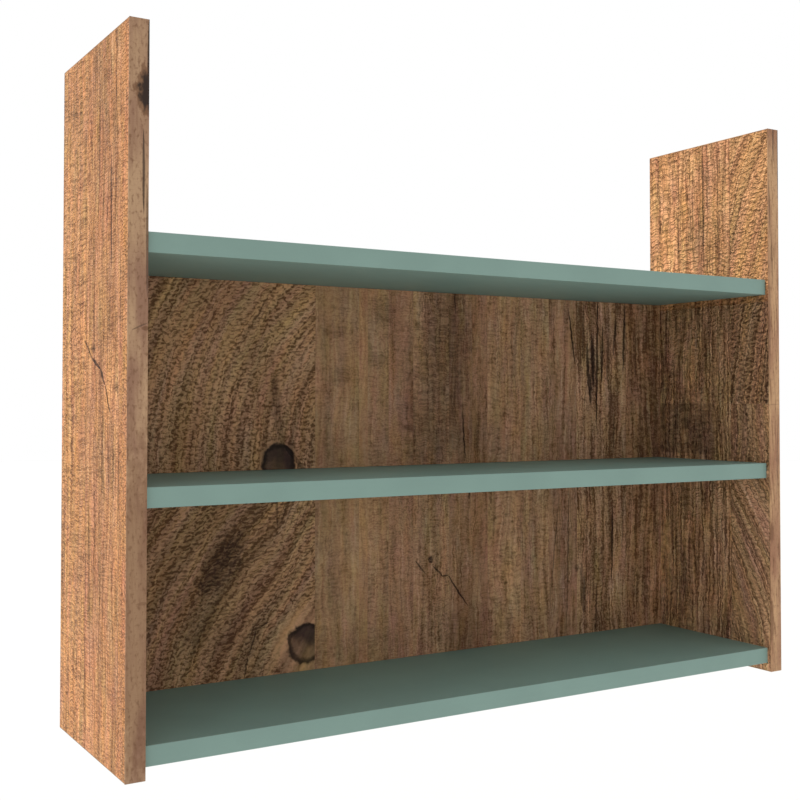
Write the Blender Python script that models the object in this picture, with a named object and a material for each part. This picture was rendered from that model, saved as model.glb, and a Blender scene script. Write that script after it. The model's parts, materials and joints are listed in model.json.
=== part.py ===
"""Wall shelf: two side panels, three shelves and two back panels, joined by cam locks and dowels.

Metres, +Z up. The front faces -Y and the wall is the plane Y = 0.
The origin is on the wall, midway between the two points that the shelf hangs from.
"""

import math

import bmesh
import bpy
from mathutils import Matrix, Vector

# Whole shelf
WIDTH = 0.800  # over the outer faces of both side panels
HEIGHT = 0.650  # of the side panels
DEPTH = 0.205  # of the side panels, from the front edge to the wall
FOOT_RISE = 0.010  # bottom shelf's underside above the feet of the side panels
BAY_HEIGHT = 0.202  # clear height between two shelves
SHELF_SETBACK = 0.005  # shelves' front edges behind those of the side panels

# Boards and their edge bands
SIDE_THICKNESS = 0.018
SHELF_THICKNESS = 0.018
BACK_THICKNESS = 0.018
BAND_THICKNESS = 0.0008
BAND_ROUNDING = 0.0005

# Clearances
SEAT_GAP = 0.0003  # between pieces that meet
GLUE_GAP = 0.0002  # between a board and its edge band

# Cams: turned in a bore in the shelf's face, with an eccentric hollow that grips the bolt's head
CAM_DIAMETER = 0.015
CAM_FLOOR = 0.0008  # thickness under the hollow
CAM_END_DISTANCE = 0.034  # cam's axis from the shelf's end
CAM_FRONT_DISTANCE = 0.037  # front cam's axis from the shelf's front edge
CAM_WALL_DISTANCE = 0.037  # rear cam's axis from the wall
CAM_TURN = math.radians(180.0)  # from locked to open
CAM_DRAW = 0.0012  # how far the hollow's wall closes on the head over that turn
SLOT_OVERRUN = 1.2  # slot's ends past the turn, as a multiple of half the neck's angle
CROSS_LENGTH = 0.0075  # cross recess for the screwdriver
CROSS_WIDTH = 0.0016
CROSS_DEPTH = 0.0025

# Cam bolts: screwed into a side panel
HEAD_DIAMETER = 0.0068
HEAD_OFFSET = 0.0013  # head's centre from the cam's axis, on the panel's side
NECK_DIAMETER = 0.004
COLLAR_DIAMETER = 0.0074
COLLAR_LENGTH = 0.002
THREAD_DIAMETER = 0.005
THREAD_LENGTH = 0.011
THREAD_TAPER = 0.0015

# Dowels
DOWEL_DIAMETER = 0.008
DOWEL_LENGTH = 0.030
DOWEL_IN_FACE = 0.010  # length in the face of the board that is butted against
DOWEL_CHAMFER = 0.001
FLUTE_COUNT = 8
FLUTE_DEPTH = 0.0003
BACK_DOWEL_INSET = 0.100  # lower back panel's dowels from its ends
BACK_DOWEL_STAGGER = 0.050  # upper back panel's dowels further in, clear of the lower ones

# Keyhole hanger plates, let in flush at the rear of the upper back panel
HANGER_INSET = 0.090  # hanging point from the side panel's inner face
HANGER_DROP = 0.040  # hanging point below the top shelf
HANGER_WIDTH = 0.024
HANGER_LENGTH = 0.064
HANGER_THICKNESS = 0.002
KEYHOLE_ENTRY = 0.010  # diameter that lets the wall screw's head in
KEYHOLE_SLOT = 0.005  # width that holds its shank
KEYHOLE_TRAVEL = 0.012  # from the entry's centre up to the hanging point
POCKET_MARGIN = 0.001  # room beside the wall screw's head
POCKET_DEPTH = 0.008  # room behind the plate
SCREW_SPACING = 0.048
SCREW_HEAD_DIAMETER = 0.007
SCREW_DIAMETER = 0.0035
SCREW_LENGTH = 0.012
SCREW_TIP = 0.003
SCREW_CROSS_LENGTH = 0.004
SCREW_CROSS_WIDTH = 0.0009
SCREW_CROSS_DEPTH = 0.0012

# Facets
CAM_FACETS = 20
BORE_FACETS = 12
BOLT_FACETS = 10
PLATE_FACETS = 20
HEAD_ARC_STEPS = 4
CUTTER_REACH = 0.001  # how far a cutter stands out of the face it cuts
SMOOTH_ANGLE = math.radians(35.0)
MERGE_DISTANCE = 1e-7

# Places worked out from the sizes above
INNER_X = WIDTH / 2 - SIDE_THICKNESS
BOARD_END_X = INNER_X - SEAT_GAP
SIDE_FRONT_Y = -DEPTH
SHELF_FRONT_Y = SIDE_FRONT_Y + SHELF_SETBACK
BACK_FRONT_Y = -BACK_THICKNESS
BAND_STEP = BAND_THICKNESS + GLUE_GAP
SHELF_PITCH = SHELF_THICKNESS + BAY_HEIGHT
FEET_Z = HANGER_DROP - FOOT_RISE - 2 * SHELF_PITCH
LEVELS = ("bottom", "middle", "top")
UNDERSIDES = {level: FEET_Z + FOOT_RISE + i * SHELF_PITCH for i, level in enumerate(LEVELS)}
CAM_FACE_UP = {"bottom": False, "middle": False, "top": True}
CAM_ROWS_Y = {"front": SHELF_FRONT_Y + CAM_FRONT_DISTANCE, "rear": -CAM_WALL_DISTANCE}
SHELF_DOWEL_Y = (CAM_ROWS_Y["front"] + CAM_ROWS_Y["rear"]) / 2
SIDES = {"left": -1, "right": 1}
BACKS = {"lower": ("bottom", "middle"), "upper": ("middle", "top")}
HEAD_RADIUS = HEAD_DIAMETER / 2
HOLLOW_HALF_HEIGHT = HEAD_RADIUS + SEAT_GAP
CAM_LENGTH = SHELF_THICKNESS / 2 + HOLLOW_HALF_HEIGHT + CAM_FLOOR
BOLT_BORE = max(COLLAR_DIAMETER, HEAD_DIAMETER) + 2 * SEAT_GAP
DOWEL_BORE = DOWEL_DIAMETER + 2 * SEAT_GAP
HANGER_X = INNER_X - HANGER_INSET
HANGER_MIDDLE = (KEYHOLE_SLOT / 2 - KEYHOLE_TRAVEL - KEYHOLE_ENTRY / 2) / 2

# Colours, as linear red, green and blue
PINE = (0.300, 0.160, 0.080)
PINE_BAND = (0.230, 0.140, 0.085)
SAGE = (0.200, 0.310, 0.255)
ZINC = (0.520, 0.520, 0.500)
STEEL = (0.600, 0.600, 0.590)
BEECH = (0.560, 0.400, 0.250)


def clear_scene():
    for item in list(bpy.data.objects):
        bpy.data.objects.remove(item)


def make_material(name, colour, roughness, metallic=0.0):
    material = bpy.data.materials.new(name)
    material.use_nodes = True
    shader = material.node_tree.nodes["Principled BSDF"]
    shader.inputs["Base Color"].default_value = (*colour, 1.0)
    shader.inputs["Roughness"].default_value = roughness
    shader.inputs["Metallic"].default_value = metallic
    material.diffuse_color = (*colour, 1.0)
    return material


def make_mesh(name, shape, smooth=False):
    """Turn a finished bmesh into mesh data with its faces pointing out."""
    bmesh.ops.recalc_face_normals(shape, faces=shape.faces)
    mesh = bpy.data.meshes.new(name)
    shape.to_mesh(mesh)
    shape.free()
    if smooth:
        mesh.shade_smooth()
        mesh.set_sharp_from_angle(angle=SMOOTH_ANGLE)
    return mesh


def place(name, mesh, material=None, location=(0.0, 0.0, 0.0), rotation=(0.0, 0.0, 0.0)):
    item = bpy.data.objects.new(name, mesh)
    item.location = location
    item.rotation_euler = rotation
    if material and not mesh.materials:
        mesh.materials.append(material)
    bpy.context.collection.objects.link(item)
    return item


def cut(item, shape, name):
    """Cut a bmesh's volume, given in the item's own frame, out of the item."""
    cutter = place(f"cutter_{item.name}_{name}", make_mesh(name, shape))
    cutter.matrix_basis = item.matrix_basis
    cutter.hide_render = True
    cutter.display_type = "WIRE"
    modifier = item.modifiers.new(name, "BOOLEAN")
    modifier.operation = "DIFFERENCE"
    modifier.solver = "EXACT"
    modifier.object = cutter


def settle(item, name):
    """Replace an item and its cutters by one plain mesh, for pieces that come in sets."""
    bpy.context.view_layer.update()
    finished = item.evaluated_get(bpy.context.evaluated_depsgraph_get())
    mesh = bpy.data.meshes.new_from_object(finished)
    mesh.name = name
    for modifier in list(item.modifiers):
        bpy.data.objects.remove(modifier.object)
    bpy.data.objects.remove(item)
    mesh.shade_smooth()
    mesh.set_sharp_from_angle(angle=SMOOTH_ANGLE)
    return mesh


def box(low, high):
    shape = bmesh.new()
    middle = (Vector(low) + Vector(high)) / 2
    size = Vector(high) - Vector(low)
    bmesh.ops.create_cube(shape, size=1.0, matrix=Matrix.Translation(middle) @ Matrix.Diagonal(size).to_4x4())
    return shape


def prism(outline, bottom, top):
    """Extrude a closed outline of (x, y) points from one height to another."""
    shape = bmesh.new()
    face = shape.faces.new([shape.verts.new((x, y, bottom)) for x, y in outline])
    grown = bmesh.ops.extrude_face_region(shape, geom=[face])
    raised = [part for part in grown["geom"] if isinstance(part, bmesh.types.BMVert)]
    bmesh.ops.translate(shape, verts=raised, vec=(0.0, 0.0, top - bottom))
    return shape


def turned(profile, facets):
    """Turn (radius, height) points, listed from one end on the axis to the other, about Z."""
    shape = bmesh.new()
    points = [shape.verts.new((radius, 0.0, height)) for radius, height in profile]
    edges = [shape.edges.new(pair) for pair in zip(points, points[1:])]
    bmesh.ops.spin(
        shape,
        geom=points + edges,
        cent=(0.0, 0.0, 0.0),
        axis=(0.0, 0.0, 1.0),
        angle=math.tau,
        steps=facets,
        use_merge=True,
    )
    bmesh.ops.remove_doubles(shape, verts=shape.verts, dist=MERGE_DISTANCE)
    return shape


def bore(shape, diameter, mouth, direction, depth, facets=BORE_FACETS):
    """Add a round cutter whose flats stand at the given diameter, from its mouth inwards."""
    direction = Vector(direction)
    radius = diameter / 2 / math.cos(math.pi / facets)
    middle = Vector(mouth) + direction * (depth - CUTTER_REACH) / 2
    turn = direction.to_track_quat("Z", "Y").to_matrix().to_4x4()
    bmesh.ops.create_cone(
        shape,
        cap_ends=True,
        segments=facets,
        radius1=radius,
        radius2=radius,
        depth=depth + CUTTER_REACH,
        matrix=Matrix.Translation(middle) @ turn,
    )


def stadium(width, low, high, facets=PLATE_FACETS):
    """Outline of a slot of the given width whose end arcs are centred at two heights."""
    half = facets // 2
    upper = [(width / 2 * math.cos(a), high + width / 2 * math.sin(a)) for a in arc(0.0, math.pi, half)]
    lower = [(width / 2 * math.cos(a), low + width / 2 * math.sin(a)) for a in arc(math.pi, math.tau, half)]
    return upper + lower


def arc(start, end, steps):
    return [start + (end - start) * i / steps for i in range(steps + 1)]


def cross(length, width):
    """Outline of a cross recess."""
    corner = [(length / 2, -width / 2), (length / 2, width / 2), (width / 2, width / 2)]
    quarters = [Matrix.Rotation(math.radians(90 * i), 2) for i in range(4)]
    return [tuple(quarter @ Vector(point)) for quarter in quarters for point in corner]


def bolt_places(level):
    """The bolts at one end of a shelf, as (row, y, z)."""
    return [(row, y, mid_height(level)) for row, y in CAM_ROWS_Y.items()]


def mid_height(level):
    return UNDERSIDES[level] + SHELF_THICKNESS / 2


def back_dowel_x(back):
    """Distance of a back panel's dowels from the middle of the shelf."""
    stagger = BACK_DOWEL_STAGGER if back == "upper" else 0.0
    return BOARD_END_X - BACK_DOWEL_INSET - stagger


def make_side_panel(name, side, material):
    outer = side * WIDTH / 2
    inner = side * INNER_X
    low = (min(outer, inner), SIDE_FRONT_Y + BAND_STEP, FEET_Z + BAND_STEP)
    high = (max(outer, inner), 0.0, FEET_Z + HEIGHT - BAND_STEP)
    panel = place(f"side_panel_{name}", make_mesh("side_panel", box(low, high)), material)
    holes = bmesh.new()
    outwards = (side, 0.0, 0.0)
    for level in LEVELS:
        for _, y, z in bolt_places(level):
            bore(holes, THREAD_DIAMETER + 2 * SEAT_GAP, (inner, y, z), outwards, THREAD_LENGTH + SEAT_GAP)
        middle = (inner, SHELF_DOWEL_Y, mid_height(level))
        bore(holes, DOWEL_BORE, middle, outwards, DOWEL_IN_FACE + SEAT_GAP)
    cut(panel, holes, "holes")


def make_shelf(level, material):
    underside = UNDERSIDES[level]
    upper_face = underside + SHELF_THICKNESS
    low = (-BOARD_END_X, SHELF_FRONT_Y + BAND_STEP, underside)
    high = (BOARD_END_X, 0.0, upper_face)
    shelf = place(f"shelf_{level}", make_mesh("shelf", box(low, high)), material)
    end_holes = bmesh.new()
    face_holes = bmesh.new()
    cam_face, into = (upper_face, (0, 0, -1)) if CAM_FACE_UP[level] else (underside, (0, 0, 1))
    for side in SIDES.values():
        end = side * BOARD_END_X
        inwards = (-side, 0.0, 0.0)
        for _, y, z in bolt_places(level):
            bore(end_holes, BOLT_BORE, (end, y, z), inwards, CAM_END_DISTANCE)
            mouth = (end - side * CAM_END_DISTANCE, y, cam_face)
            bore(face_holes, CAM_DIAMETER + 2 * SEAT_GAP, mouth, into, CAM_LENGTH + SEAT_GAP, CAM_FACETS)
        middle = (end, SHELF_DOWEL_Y, mid_height(level))
        bore(end_holes, DOWEL_BORE, middle, inwards, DOWEL_LENGTH - DOWEL_IN_FACE + SEAT_GAP)
        for back, (below, above) in BACKS.items():
            x = side * back_dowel_x(back)
            if level == below:
                face_dowel_hole(face_holes, x, upper_face, (0, 0, -1))
            if level == above:
                face_dowel_hole(face_holes, x, underside, (0, 0, 1))
    cut(shelf, face_holes, "face_holes")
    cut(shelf, end_holes, "end_holes")


def face_dowel_hole(holes, x, face, into):
    bore(holes, DOWEL_BORE, (x, BACK_FRONT_Y / 2, face), into, DOWEL_IN_FACE + SEAT_GAP)


def make_back_panel(back, material):
    below, above = BACKS[back]
    bottom = UNDERSIDES[below] + SHELF_THICKNESS + SEAT_GAP
    top = UNDERSIDES[above] - SEAT_GAP
    low = (-BOARD_END_X, BACK_FRONT_Y, bottom)
    high = (BOARD_END_X, 0.0, top)
    panel = place(f"back_panel_{back}", make_mesh("back_panel", box(low, high)), material)
    holes = bmesh.new()
    depth = DOWEL_LENGTH - DOWEL_IN_FACE + SEAT_GAP
    for side in SIDES.values():
        x = side * back_dowel_x(back)
        bore(holes, DOWEL_BORE, (x, BACK_FRONT_Y / 2, bottom), (0, 0, 1), depth)
        bore(holes, DOWEL_BORE, (x, BACK_FRONT_Y / 2, top), (0, 0, -1), depth)
    cut(panel, holes, "dowel_holes")
    if back == "upper":
        cut_hanger_seats(panel)


def cut_hanger_seats(panel):
    """Let the plates in flush, with a pocket behind each keyhole and a hole for each screw."""
    straight = (HANGER_LENGTH - HANGER_WIDTH) / 2
    seat = stadium(HANGER_WIDTH + 2 * SEAT_GAP, HANGER_MIDDLE - straight, HANGER_MIDDLE + straight)
    pocket = stadium(KEYHOLE_ENTRY + 2 * POCKET_MARGIN, -KEYHOLE_TRAVEL, 0.0)
    seat_floor = -HANGER_THICKNESS - SEAT_GAP
    for name, side in SIDES.items():
        upright = Matrix.Translation((side * HANGER_X, 0.0, 0.0)) @ wall_turn()
        cut(panel, moved(prism(seat, seat_floor, CUTTER_REACH), upright), f"seat_{name}")
        pocket_low = seat_floor - POCKET_DEPTH
        cut(panel, moved(prism(pocket, pocket_low, seat_floor + CUTTER_REACH), upright), f"pocket_{name}")
        pilots = bmesh.new()
        for z in screw_heights():
            mouth = (side * HANGER_X, seat_floor, z)
            bore(pilots, SCREW_DIAMETER + 2 * SEAT_GAP, mouth, (0, -1, 0), SCREW_LENGTH - HANGER_THICKNESS)
        cut(panel, pilots, f"pilots_{name}")


def wall_turn():
    """Stand a piece that is drawn flat, face up, against the wall: its up becomes +Y, its Y becomes +Z."""
    return Matrix(((-1, 0, 0, 0), (0, 0, 1, 0), (0, 1, 0, 0), (0, 0, 0, 1)))


def moved(shape, matrix):
    bmesh.ops.transform(shape, matrix=matrix, verts=shape.verts)
    return shape


def screw_heights():
    return (HANGER_MIDDLE - SCREW_SPACING / 2, HANGER_MIDDLE + SCREW_SPACING / 2)


def band(length, width):
    """Edge band lying on its board: X across, Z along, Y out, with its two long outer edges rounded."""
    half = width / 2
    outline = [(-half, 0.0), (half, 0.0)]
    centre_y = BAND_THICKNESS - BAND_ROUNDING
    for centre_x, start in ((half - BAND_ROUNDING, 0.0), (BAND_ROUNDING - half, math.pi / 2)):
        for a in arc(start, start + math.pi / 2, 2):
            outline.append((centre_x + BAND_ROUNDING * math.cos(a), centre_y + BAND_ROUNDING * math.sin(a)))
    return prism(outline, -length / 2, length / 2)


def make_side_bands(name, side, material):
    x = side * (WIDTH / 2 - SIDE_THICKNESS / 2)
    front = make_mesh("edge_band", band(HEIGHT, SIDE_THICKNESS))
    front_place = (x, SIDE_FRONT_Y + BAND_THICKNESS, FEET_Z + HEIGHT / 2)
    place(f"edge_band_{name}_front", front, material, front_place, (0.0, 0.0, math.pi))
    length = DEPTH - BAND_STEP
    middle_y = -length / 2
    for end, z, turn in (
        ("top", FEET_Z + HEIGHT - BAND_THICKNESS, math.pi / 2),
        ("bottom", FEET_Z + BAND_THICKNESS, -math.pi / 2),
    ):
        mesh = make_mesh("edge_band", band(length, SIDE_THICKNESS))
        place(f"edge_band_{name}_{end}", mesh, material, (x, middle_y, z), (turn, 0.0, 0.0))


def make_shelf_band(level, material):
    mesh = make_mesh("edge_band", band(2 * BOARD_END_X, SHELF_THICKNESS))
    middle = (0.0, SHELF_FRONT_Y + BAND_THICKNESS, mid_height(level))
    place(f"edge_band_shelf_{level}", mesh, material, middle, (0.0, math.pi / 2, math.pi))


def hollow_radius(angle):
    """Radius of the cam's hollow at an angle from its mouth.

    The hollow clears the bolt's head wherever the cam turns it, and is widest at the mouth.
    Past either end of the turn it follows the head alone.
    """
    past_lock = CAM_TURN < angle <= (CAM_TURN + math.tau) / 2
    nearest = CAM_TURN if past_lock else (angle if angle <= CAM_TURN else math.tau)
    away = angle - nearest
    head = HEAD_OFFSET * math.cos(away) + math.sqrt(HEAD_RADIUS**2 - (HEAD_OFFSET * math.sin(away)) ** 2)
    turned_by = nearest % math.tau
    slack = CAM_DRAW * (1 - turned_by / CAM_TURN) * max(0.0, math.cos(away))
    return head + SEAT_GAP + slack


def make_cam_mesh(material):
    """Cam with its top at Z = 0 and its mouth towards +X. It locks with -X towards the panel."""
    radius = CAM_DIAMETER / 2
    body = turned([(0, -CAM_LENGTH), (radius, -CAM_LENGTH), (radius, 0), (0, 0)], CAM_FACETS)
    cam = place("cam", make_mesh("cam", body), material)
    bolt_z = -SHELF_THICKNESS / 2
    angles = [math.tau * i / CAM_FACETS for i in range(CAM_FACETS)]
    hollow = [(hollow_radius(a) * math.cos(a), hollow_radius(a) * math.sin(a)) for a in angles]
    cut(cam, prism(hollow, bolt_z - HOLLOW_HALF_HEIGHT, bolt_z + HOLLOW_HALF_HEIGHT), "hollow")
    neck = NECK_DIAMETER / 2 + SEAT_GAP
    margin = SLOT_OVERRUN * math.asin(neck / hollow_radius(CAM_TURN))
    reach = radius + CUTTER_REACH
    sweep = arc(-margin, CAM_TURN + margin, CAM_FACETS * 3 // 4)
    slot = [(0.0, 0.0)] + [(reach * math.cos(a), reach * math.sin(a)) for a in sweep]
    cut(cam, prism(slot, bolt_z - neck, bolt_z + neck), "slot")
    mouth = bmesh.new()
    bore(mouth, HEAD_DIAMETER + 2 * SEAT_GAP, (reach, 0.0, bolt_z), (-1, 0, 0), reach)
    cut(cam, mouth, "mouth")
    cut(cam, prism(cross(CROSS_LENGTH, CROSS_WIDTH), -CROSS_DEPTH, CUTTER_REACH), "cross")
    return settle(cam, "cam")


def make_bolt_mesh(material):
    """Bolt along Z, from the tip in the panel, through the panel's face at Z = 0, to the head in the cam."""
    head_z = SEAT_GAP + CAM_END_DISTANCE - HEAD_OFFSET
    neck_angle = math.asin(NECK_DIAMETER / 2 / HEAD_RADIUS)
    collar_top = SEAT_GAP + COLLAR_LENGTH
    profile = [
        (0.0, -THREAD_LENGTH),
        (THREAD_DIAMETER / 2 - THREAD_TAPER, -THREAD_LENGTH),
        (THREAD_DIAMETER / 2, THREAD_TAPER - THREAD_LENGTH),
        (THREAD_DIAMETER / 2, SEAT_GAP),
        (COLLAR_DIAMETER / 2, SEAT_GAP),
        (COLLAR_DIAMETER / 2, collar_top),
        (NECK_DIAMETER / 2, collar_top),
    ]
    for a in arc(math.pi - neck_angle, 0.0, HEAD_ARC_STEPS):
        profile.append((HEAD_RADIUS * math.sin(a), head_z + HEAD_RADIUS * math.cos(a)))
    mesh = make_mesh("cam_bolt", turned(profile, BOLT_FACETS), smooth=True)
    mesh.materials.append(material)
    return mesh


def make_cam_locks(cam_mesh, bolt_mesh):
    for level in LEVELS:
        up = CAM_FACE_UP[level]
        cam_z = UNDERSIDES[level] + (SHELF_THICKNESS if up else 0.0)
        for name, side in SIDES.items():
            for row, y, z in bolt_places(level):
                cam_x = side * (BOARD_END_X - CAM_END_DISTANCE)
                turn = (0.0 if up else math.pi, 0.0, 0.0 if side < 0 else math.pi)
                place(f"cam_{level}_{name}_{row}", cam_mesh, None, (cam_x, y, cam_z), turn)
                bolt_turn = (0.0, -side * math.pi / 2, 0.0)
                place(f"cam_bolt_{level}_{name}_{row}", bolt_mesh, None, (side * INNER_X, y, z), bolt_turn)


def make_dowel_mesh(material):
    """Fluted dowel along Z, with chamfered ends. Z = 0 is where the two boards meet."""
    shape = bmesh.new()
    rings = []
    low = -DOWEL_IN_FACE
    high = DOWEL_LENGTH - DOWEL_IN_FACE
    chamfered_ends = (
        (DOWEL_CHAMFER, low),
        (0.0, low + DOWEL_CHAMFER),
        (0.0, high - DOWEL_CHAMFER),
        (DOWEL_CHAMFER, high),
    )
    for inset, z in chamfered_ends:
        ring = []
        for i in range(2 * FLUTE_COUNT):
            radius = DOWEL_DIAMETER / 2 - inset - FLUTE_DEPTH * (i % 2)
            angle = math.pi * i / FLUTE_COUNT
            ring.append(shape.verts.new((radius * math.cos(angle), radius * math.sin(angle), z)))
        rings.append(ring)
    for lower, upper in zip(rings, rings[1:]):
        for i in range(2 * FLUTE_COUNT):
            shape.faces.new((lower[i - 1], lower[i], upper[i], upper[i - 1]))
    shape.faces.new(rings[0])
    shape.faces.new(rings[-1])
    mesh = make_mesh("dowel", shape)
    mesh.materials.append(material)
    return mesh


def make_dowels(mesh):
    for name, side in SIDES.items():
        for level in LEVELS:
            seam = (side * INNER_X, SHELF_DOWEL_Y, mid_height(level))
            place(f"dowel_shelf_{level}_{name}", mesh, None, seam, (0.0, -side * math.pi / 2, 0.0))
        for back, (below, above) in BACKS.items():
            x = side * back_dowel_x(back)
            shelf_top = UNDERSIDES[below] + SHELF_THICKNESS
            place(f"dowel_back_{back}_bottom_{name}", mesh, None, (x, BACK_FRONT_Y / 2, shelf_top))
            upper_seam = (x, BACK_FRONT_Y / 2, UNDERSIDES[above])
            place(f"dowel_back_{back}_top_{name}", mesh, None, upper_seam, (math.pi, 0.0, 0.0))


def make_hanger_mesh(material):
    """Keyhole plate lying flat, wall side up at Z = 0, its top towards +Y and the hanging point at 0."""
    straight = (HANGER_LENGTH - HANGER_WIDTH) / 2
    outline = stadium(HANGER_WIDTH, HANGER_MIDDLE - straight, HANGER_MIDDLE + straight)
    plate = place("hanger", make_mesh("hanger", prism(outline, -HANGER_THICKNESS, 0.0)), material)
    through = -HANGER_THICKNESS - CUTTER_REACH
    cut(plate, prism(stadium(KEYHOLE_SLOT, -KEYHOLE_TRAVEL, 0.0), through, CUTTER_REACH), "slot")
    entry = bmesh.new()
    bore(entry, KEYHOLE_ENTRY, (0.0, -KEYHOLE_TRAVEL, 0.0), (0, 0, -1), -through, PLATE_FACETS)
    cut(plate, entry, "entry")
    radius = SCREW_DIAMETER / 2 + SEAT_GAP
    head = SCREW_HEAD_DIAMETER / 2 + SEAT_GAP + CUTTER_REACH
    cone_low = CUTTER_REACH - (head - radius)
    profile = [(0, through), (radius, through), (radius, cone_low), (head, CUTTER_REACH), (0, CUTTER_REACH)]
    for y in screw_heights():
        cut(plate, moved(turned(profile, BORE_FACETS), Matrix.Translation((0.0, y, 0.0))), "screw_hole")
    return settle(plate, "hanger")


def make_screw_mesh(material):
    """Countersunk screw, head up at Z = 0."""
    shaft = SCREW_DIAMETER / 2
    head = SCREW_HEAD_DIAMETER / 2
    cone = head - shaft
    profile = [(0, -SCREW_LENGTH), (shaft, SCREW_TIP - SCREW_LENGTH), (shaft, -cone), (head, 0.0), (0.0, 0.0)]
    screw = place("screw", make_mesh("screw", turned(profile, BOLT_FACETS)), material)
    cut(screw, prism(cross(SCREW_CROSS_LENGTH, SCREW_CROSS_WIDTH), -SCREW_CROSS_DEPTH, CUTTER_REACH), "cross")
    return settle(screw, "screw")


def make_hangers(plate_mesh, screw_mesh):
    turn = wall_turn().to_euler()
    for name, side in SIDES.items():
        place(f"hanger_plate_{name}", plate_mesh, None, (side * HANGER_X, 0.0, 0.0), turn)
        for end, z in zip(("lower", "upper"), screw_heights()):
            place(f"hanger_screw_{name}_{end}", screw_mesh, None, (side * HANGER_X, 0.0, z), turn)


def main():
    clear_scene()
    pine = make_material("pine_decor", PINE, 0.60)
    pine_band = make_material("pine_edge_band", PINE_BAND, 0.55)
    sage = make_material("sage_decor", SAGE, 0.50)
    sage_band = make_material("sage_edge_band", SAGE, 0.45)
    zinc = make_material("die_cast_zinc", ZINC, 0.45, 1.0)
    steel = make_material("plated_steel", STEEL, 0.35, 1.0)
    beech = make_material("beech", BEECH, 0.70)
    for name, side in SIDES.items():
        make_side_panel(name, side, pine)
        make_side_bands(name, side, pine_band)
    for level in LEVELS:
        make_shelf(level, sage)
        make_shelf_band(level, sage_band)
    for back in BACKS:
        make_back_panel(back, pine)
    make_cam_locks(make_cam_mesh(zinc), make_bolt_mesh(steel))
    make_dowels(make_dowel_mesh(beech))
    make_hangers(make_hanger_mesh(steel), make_screw_mesh(steel))


main()
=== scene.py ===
"""Dresses the frame of a wall shelf: printed boards, edge bands, cam locks, dowels and hangers."""

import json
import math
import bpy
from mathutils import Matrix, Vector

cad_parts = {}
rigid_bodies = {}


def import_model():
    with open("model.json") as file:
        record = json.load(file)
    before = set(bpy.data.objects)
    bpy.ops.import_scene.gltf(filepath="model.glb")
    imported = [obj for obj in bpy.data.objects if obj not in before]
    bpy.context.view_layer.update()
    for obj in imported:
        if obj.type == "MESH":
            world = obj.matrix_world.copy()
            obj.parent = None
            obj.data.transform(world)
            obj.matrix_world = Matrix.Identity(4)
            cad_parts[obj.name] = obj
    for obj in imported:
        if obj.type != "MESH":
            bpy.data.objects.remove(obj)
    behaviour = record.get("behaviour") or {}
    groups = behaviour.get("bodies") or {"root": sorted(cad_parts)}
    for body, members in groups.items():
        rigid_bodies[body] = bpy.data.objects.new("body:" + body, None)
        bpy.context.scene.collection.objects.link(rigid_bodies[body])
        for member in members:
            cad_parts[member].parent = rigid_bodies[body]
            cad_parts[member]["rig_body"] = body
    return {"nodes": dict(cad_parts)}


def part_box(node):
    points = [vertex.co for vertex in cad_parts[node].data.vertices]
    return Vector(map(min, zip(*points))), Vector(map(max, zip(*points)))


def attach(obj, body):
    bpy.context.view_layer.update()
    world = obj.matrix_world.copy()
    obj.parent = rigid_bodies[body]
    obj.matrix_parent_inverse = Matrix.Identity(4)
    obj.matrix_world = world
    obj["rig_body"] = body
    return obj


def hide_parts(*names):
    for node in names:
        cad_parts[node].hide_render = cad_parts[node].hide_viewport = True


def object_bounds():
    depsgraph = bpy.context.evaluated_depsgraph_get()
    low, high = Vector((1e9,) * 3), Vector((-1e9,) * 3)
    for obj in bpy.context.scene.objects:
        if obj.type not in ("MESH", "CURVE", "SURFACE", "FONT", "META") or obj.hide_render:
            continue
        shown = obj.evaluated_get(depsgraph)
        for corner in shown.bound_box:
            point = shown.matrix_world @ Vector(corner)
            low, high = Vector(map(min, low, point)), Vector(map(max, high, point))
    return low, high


bl_info = {
    "name": "Wall Shelf",
    "version": (1, 0, 0),
    "blender": (4, 5, 0),
    "location": "3D View > Sidebar > Wall Shelf",
    "description": "Finishes a flat-packed wall shelf in printed pine and sage, with its fittings",
    "category": "Object",
}

from dataclasses import dataclass, field

import bmesh
import bpy
from bpy.props import FloatProperty, FloatVectorProperty, IntProperty, PointerProperty
from mathutils import Matrix, Vector

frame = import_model()
CAD_LOW, CAD_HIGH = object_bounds()

LEVELS = ("top", "middle", "bottom")
SIDES = {"left": -1, "right": 1}
ROWS = ("front", "rear")
CAM_FACE_UP = {"top": True, "middle": False, "bottom": False}

PER_METRE = 1000.0  # patterns are written in millimetres
MERGE_DISTANCE = 1e-6
FACING = 0.9  # least part of a face's normal along an axis for the face to look that way
REACH = 0.001  # how far a cutting shape stands out of what it cuts
SMOOTH_ANGLE = math.radians(35.0)
BAND_SEGMENTS = 4
PLATE_SEGMENTS = 2
FLOOR_SEGMENTS = 64
FLOOR_ROUGHNESS = 0.9
BALL_STEPS = 12
FLUTES = 8
CROSS_FOOT = 0.6  # width of a driver cross at its foot, as a share of that at its face
THREAD_CORE = 0.74  # a thread's core as a share of its diameter
# corners of a thread's tooth, as shares of its height and of its pitch
THREAD_TOOTH = ((0.0, 0.0), (0.0, 0.4), (1.0, 0.66), (1.0, 0.76), (0.0, 1.0))
THREAD_LEAD = 1.5  # turns that a thread is made longer by at its foot, before its ends are cut flat
STUB_SHARE = 0.8  # a screw head's stub, as a share of the thread's core
SCREW_POINT = 0.06  # width of a screw's point as a share of its diameter
SCREW_CROSS = 1.15  # length of the cross in a screw as a share of its head's radius
SCREW_CROSS_DEPTH = 0.7  # and its depth as a share of the thread's radius
SLOT_OVERRUN = 1.2  # a cam slot's ends past its half turn, as a multiple of half the neck's angle
ARROW_RADIUS = 0.0012
ARROW_DEPTH = 0.0003


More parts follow.
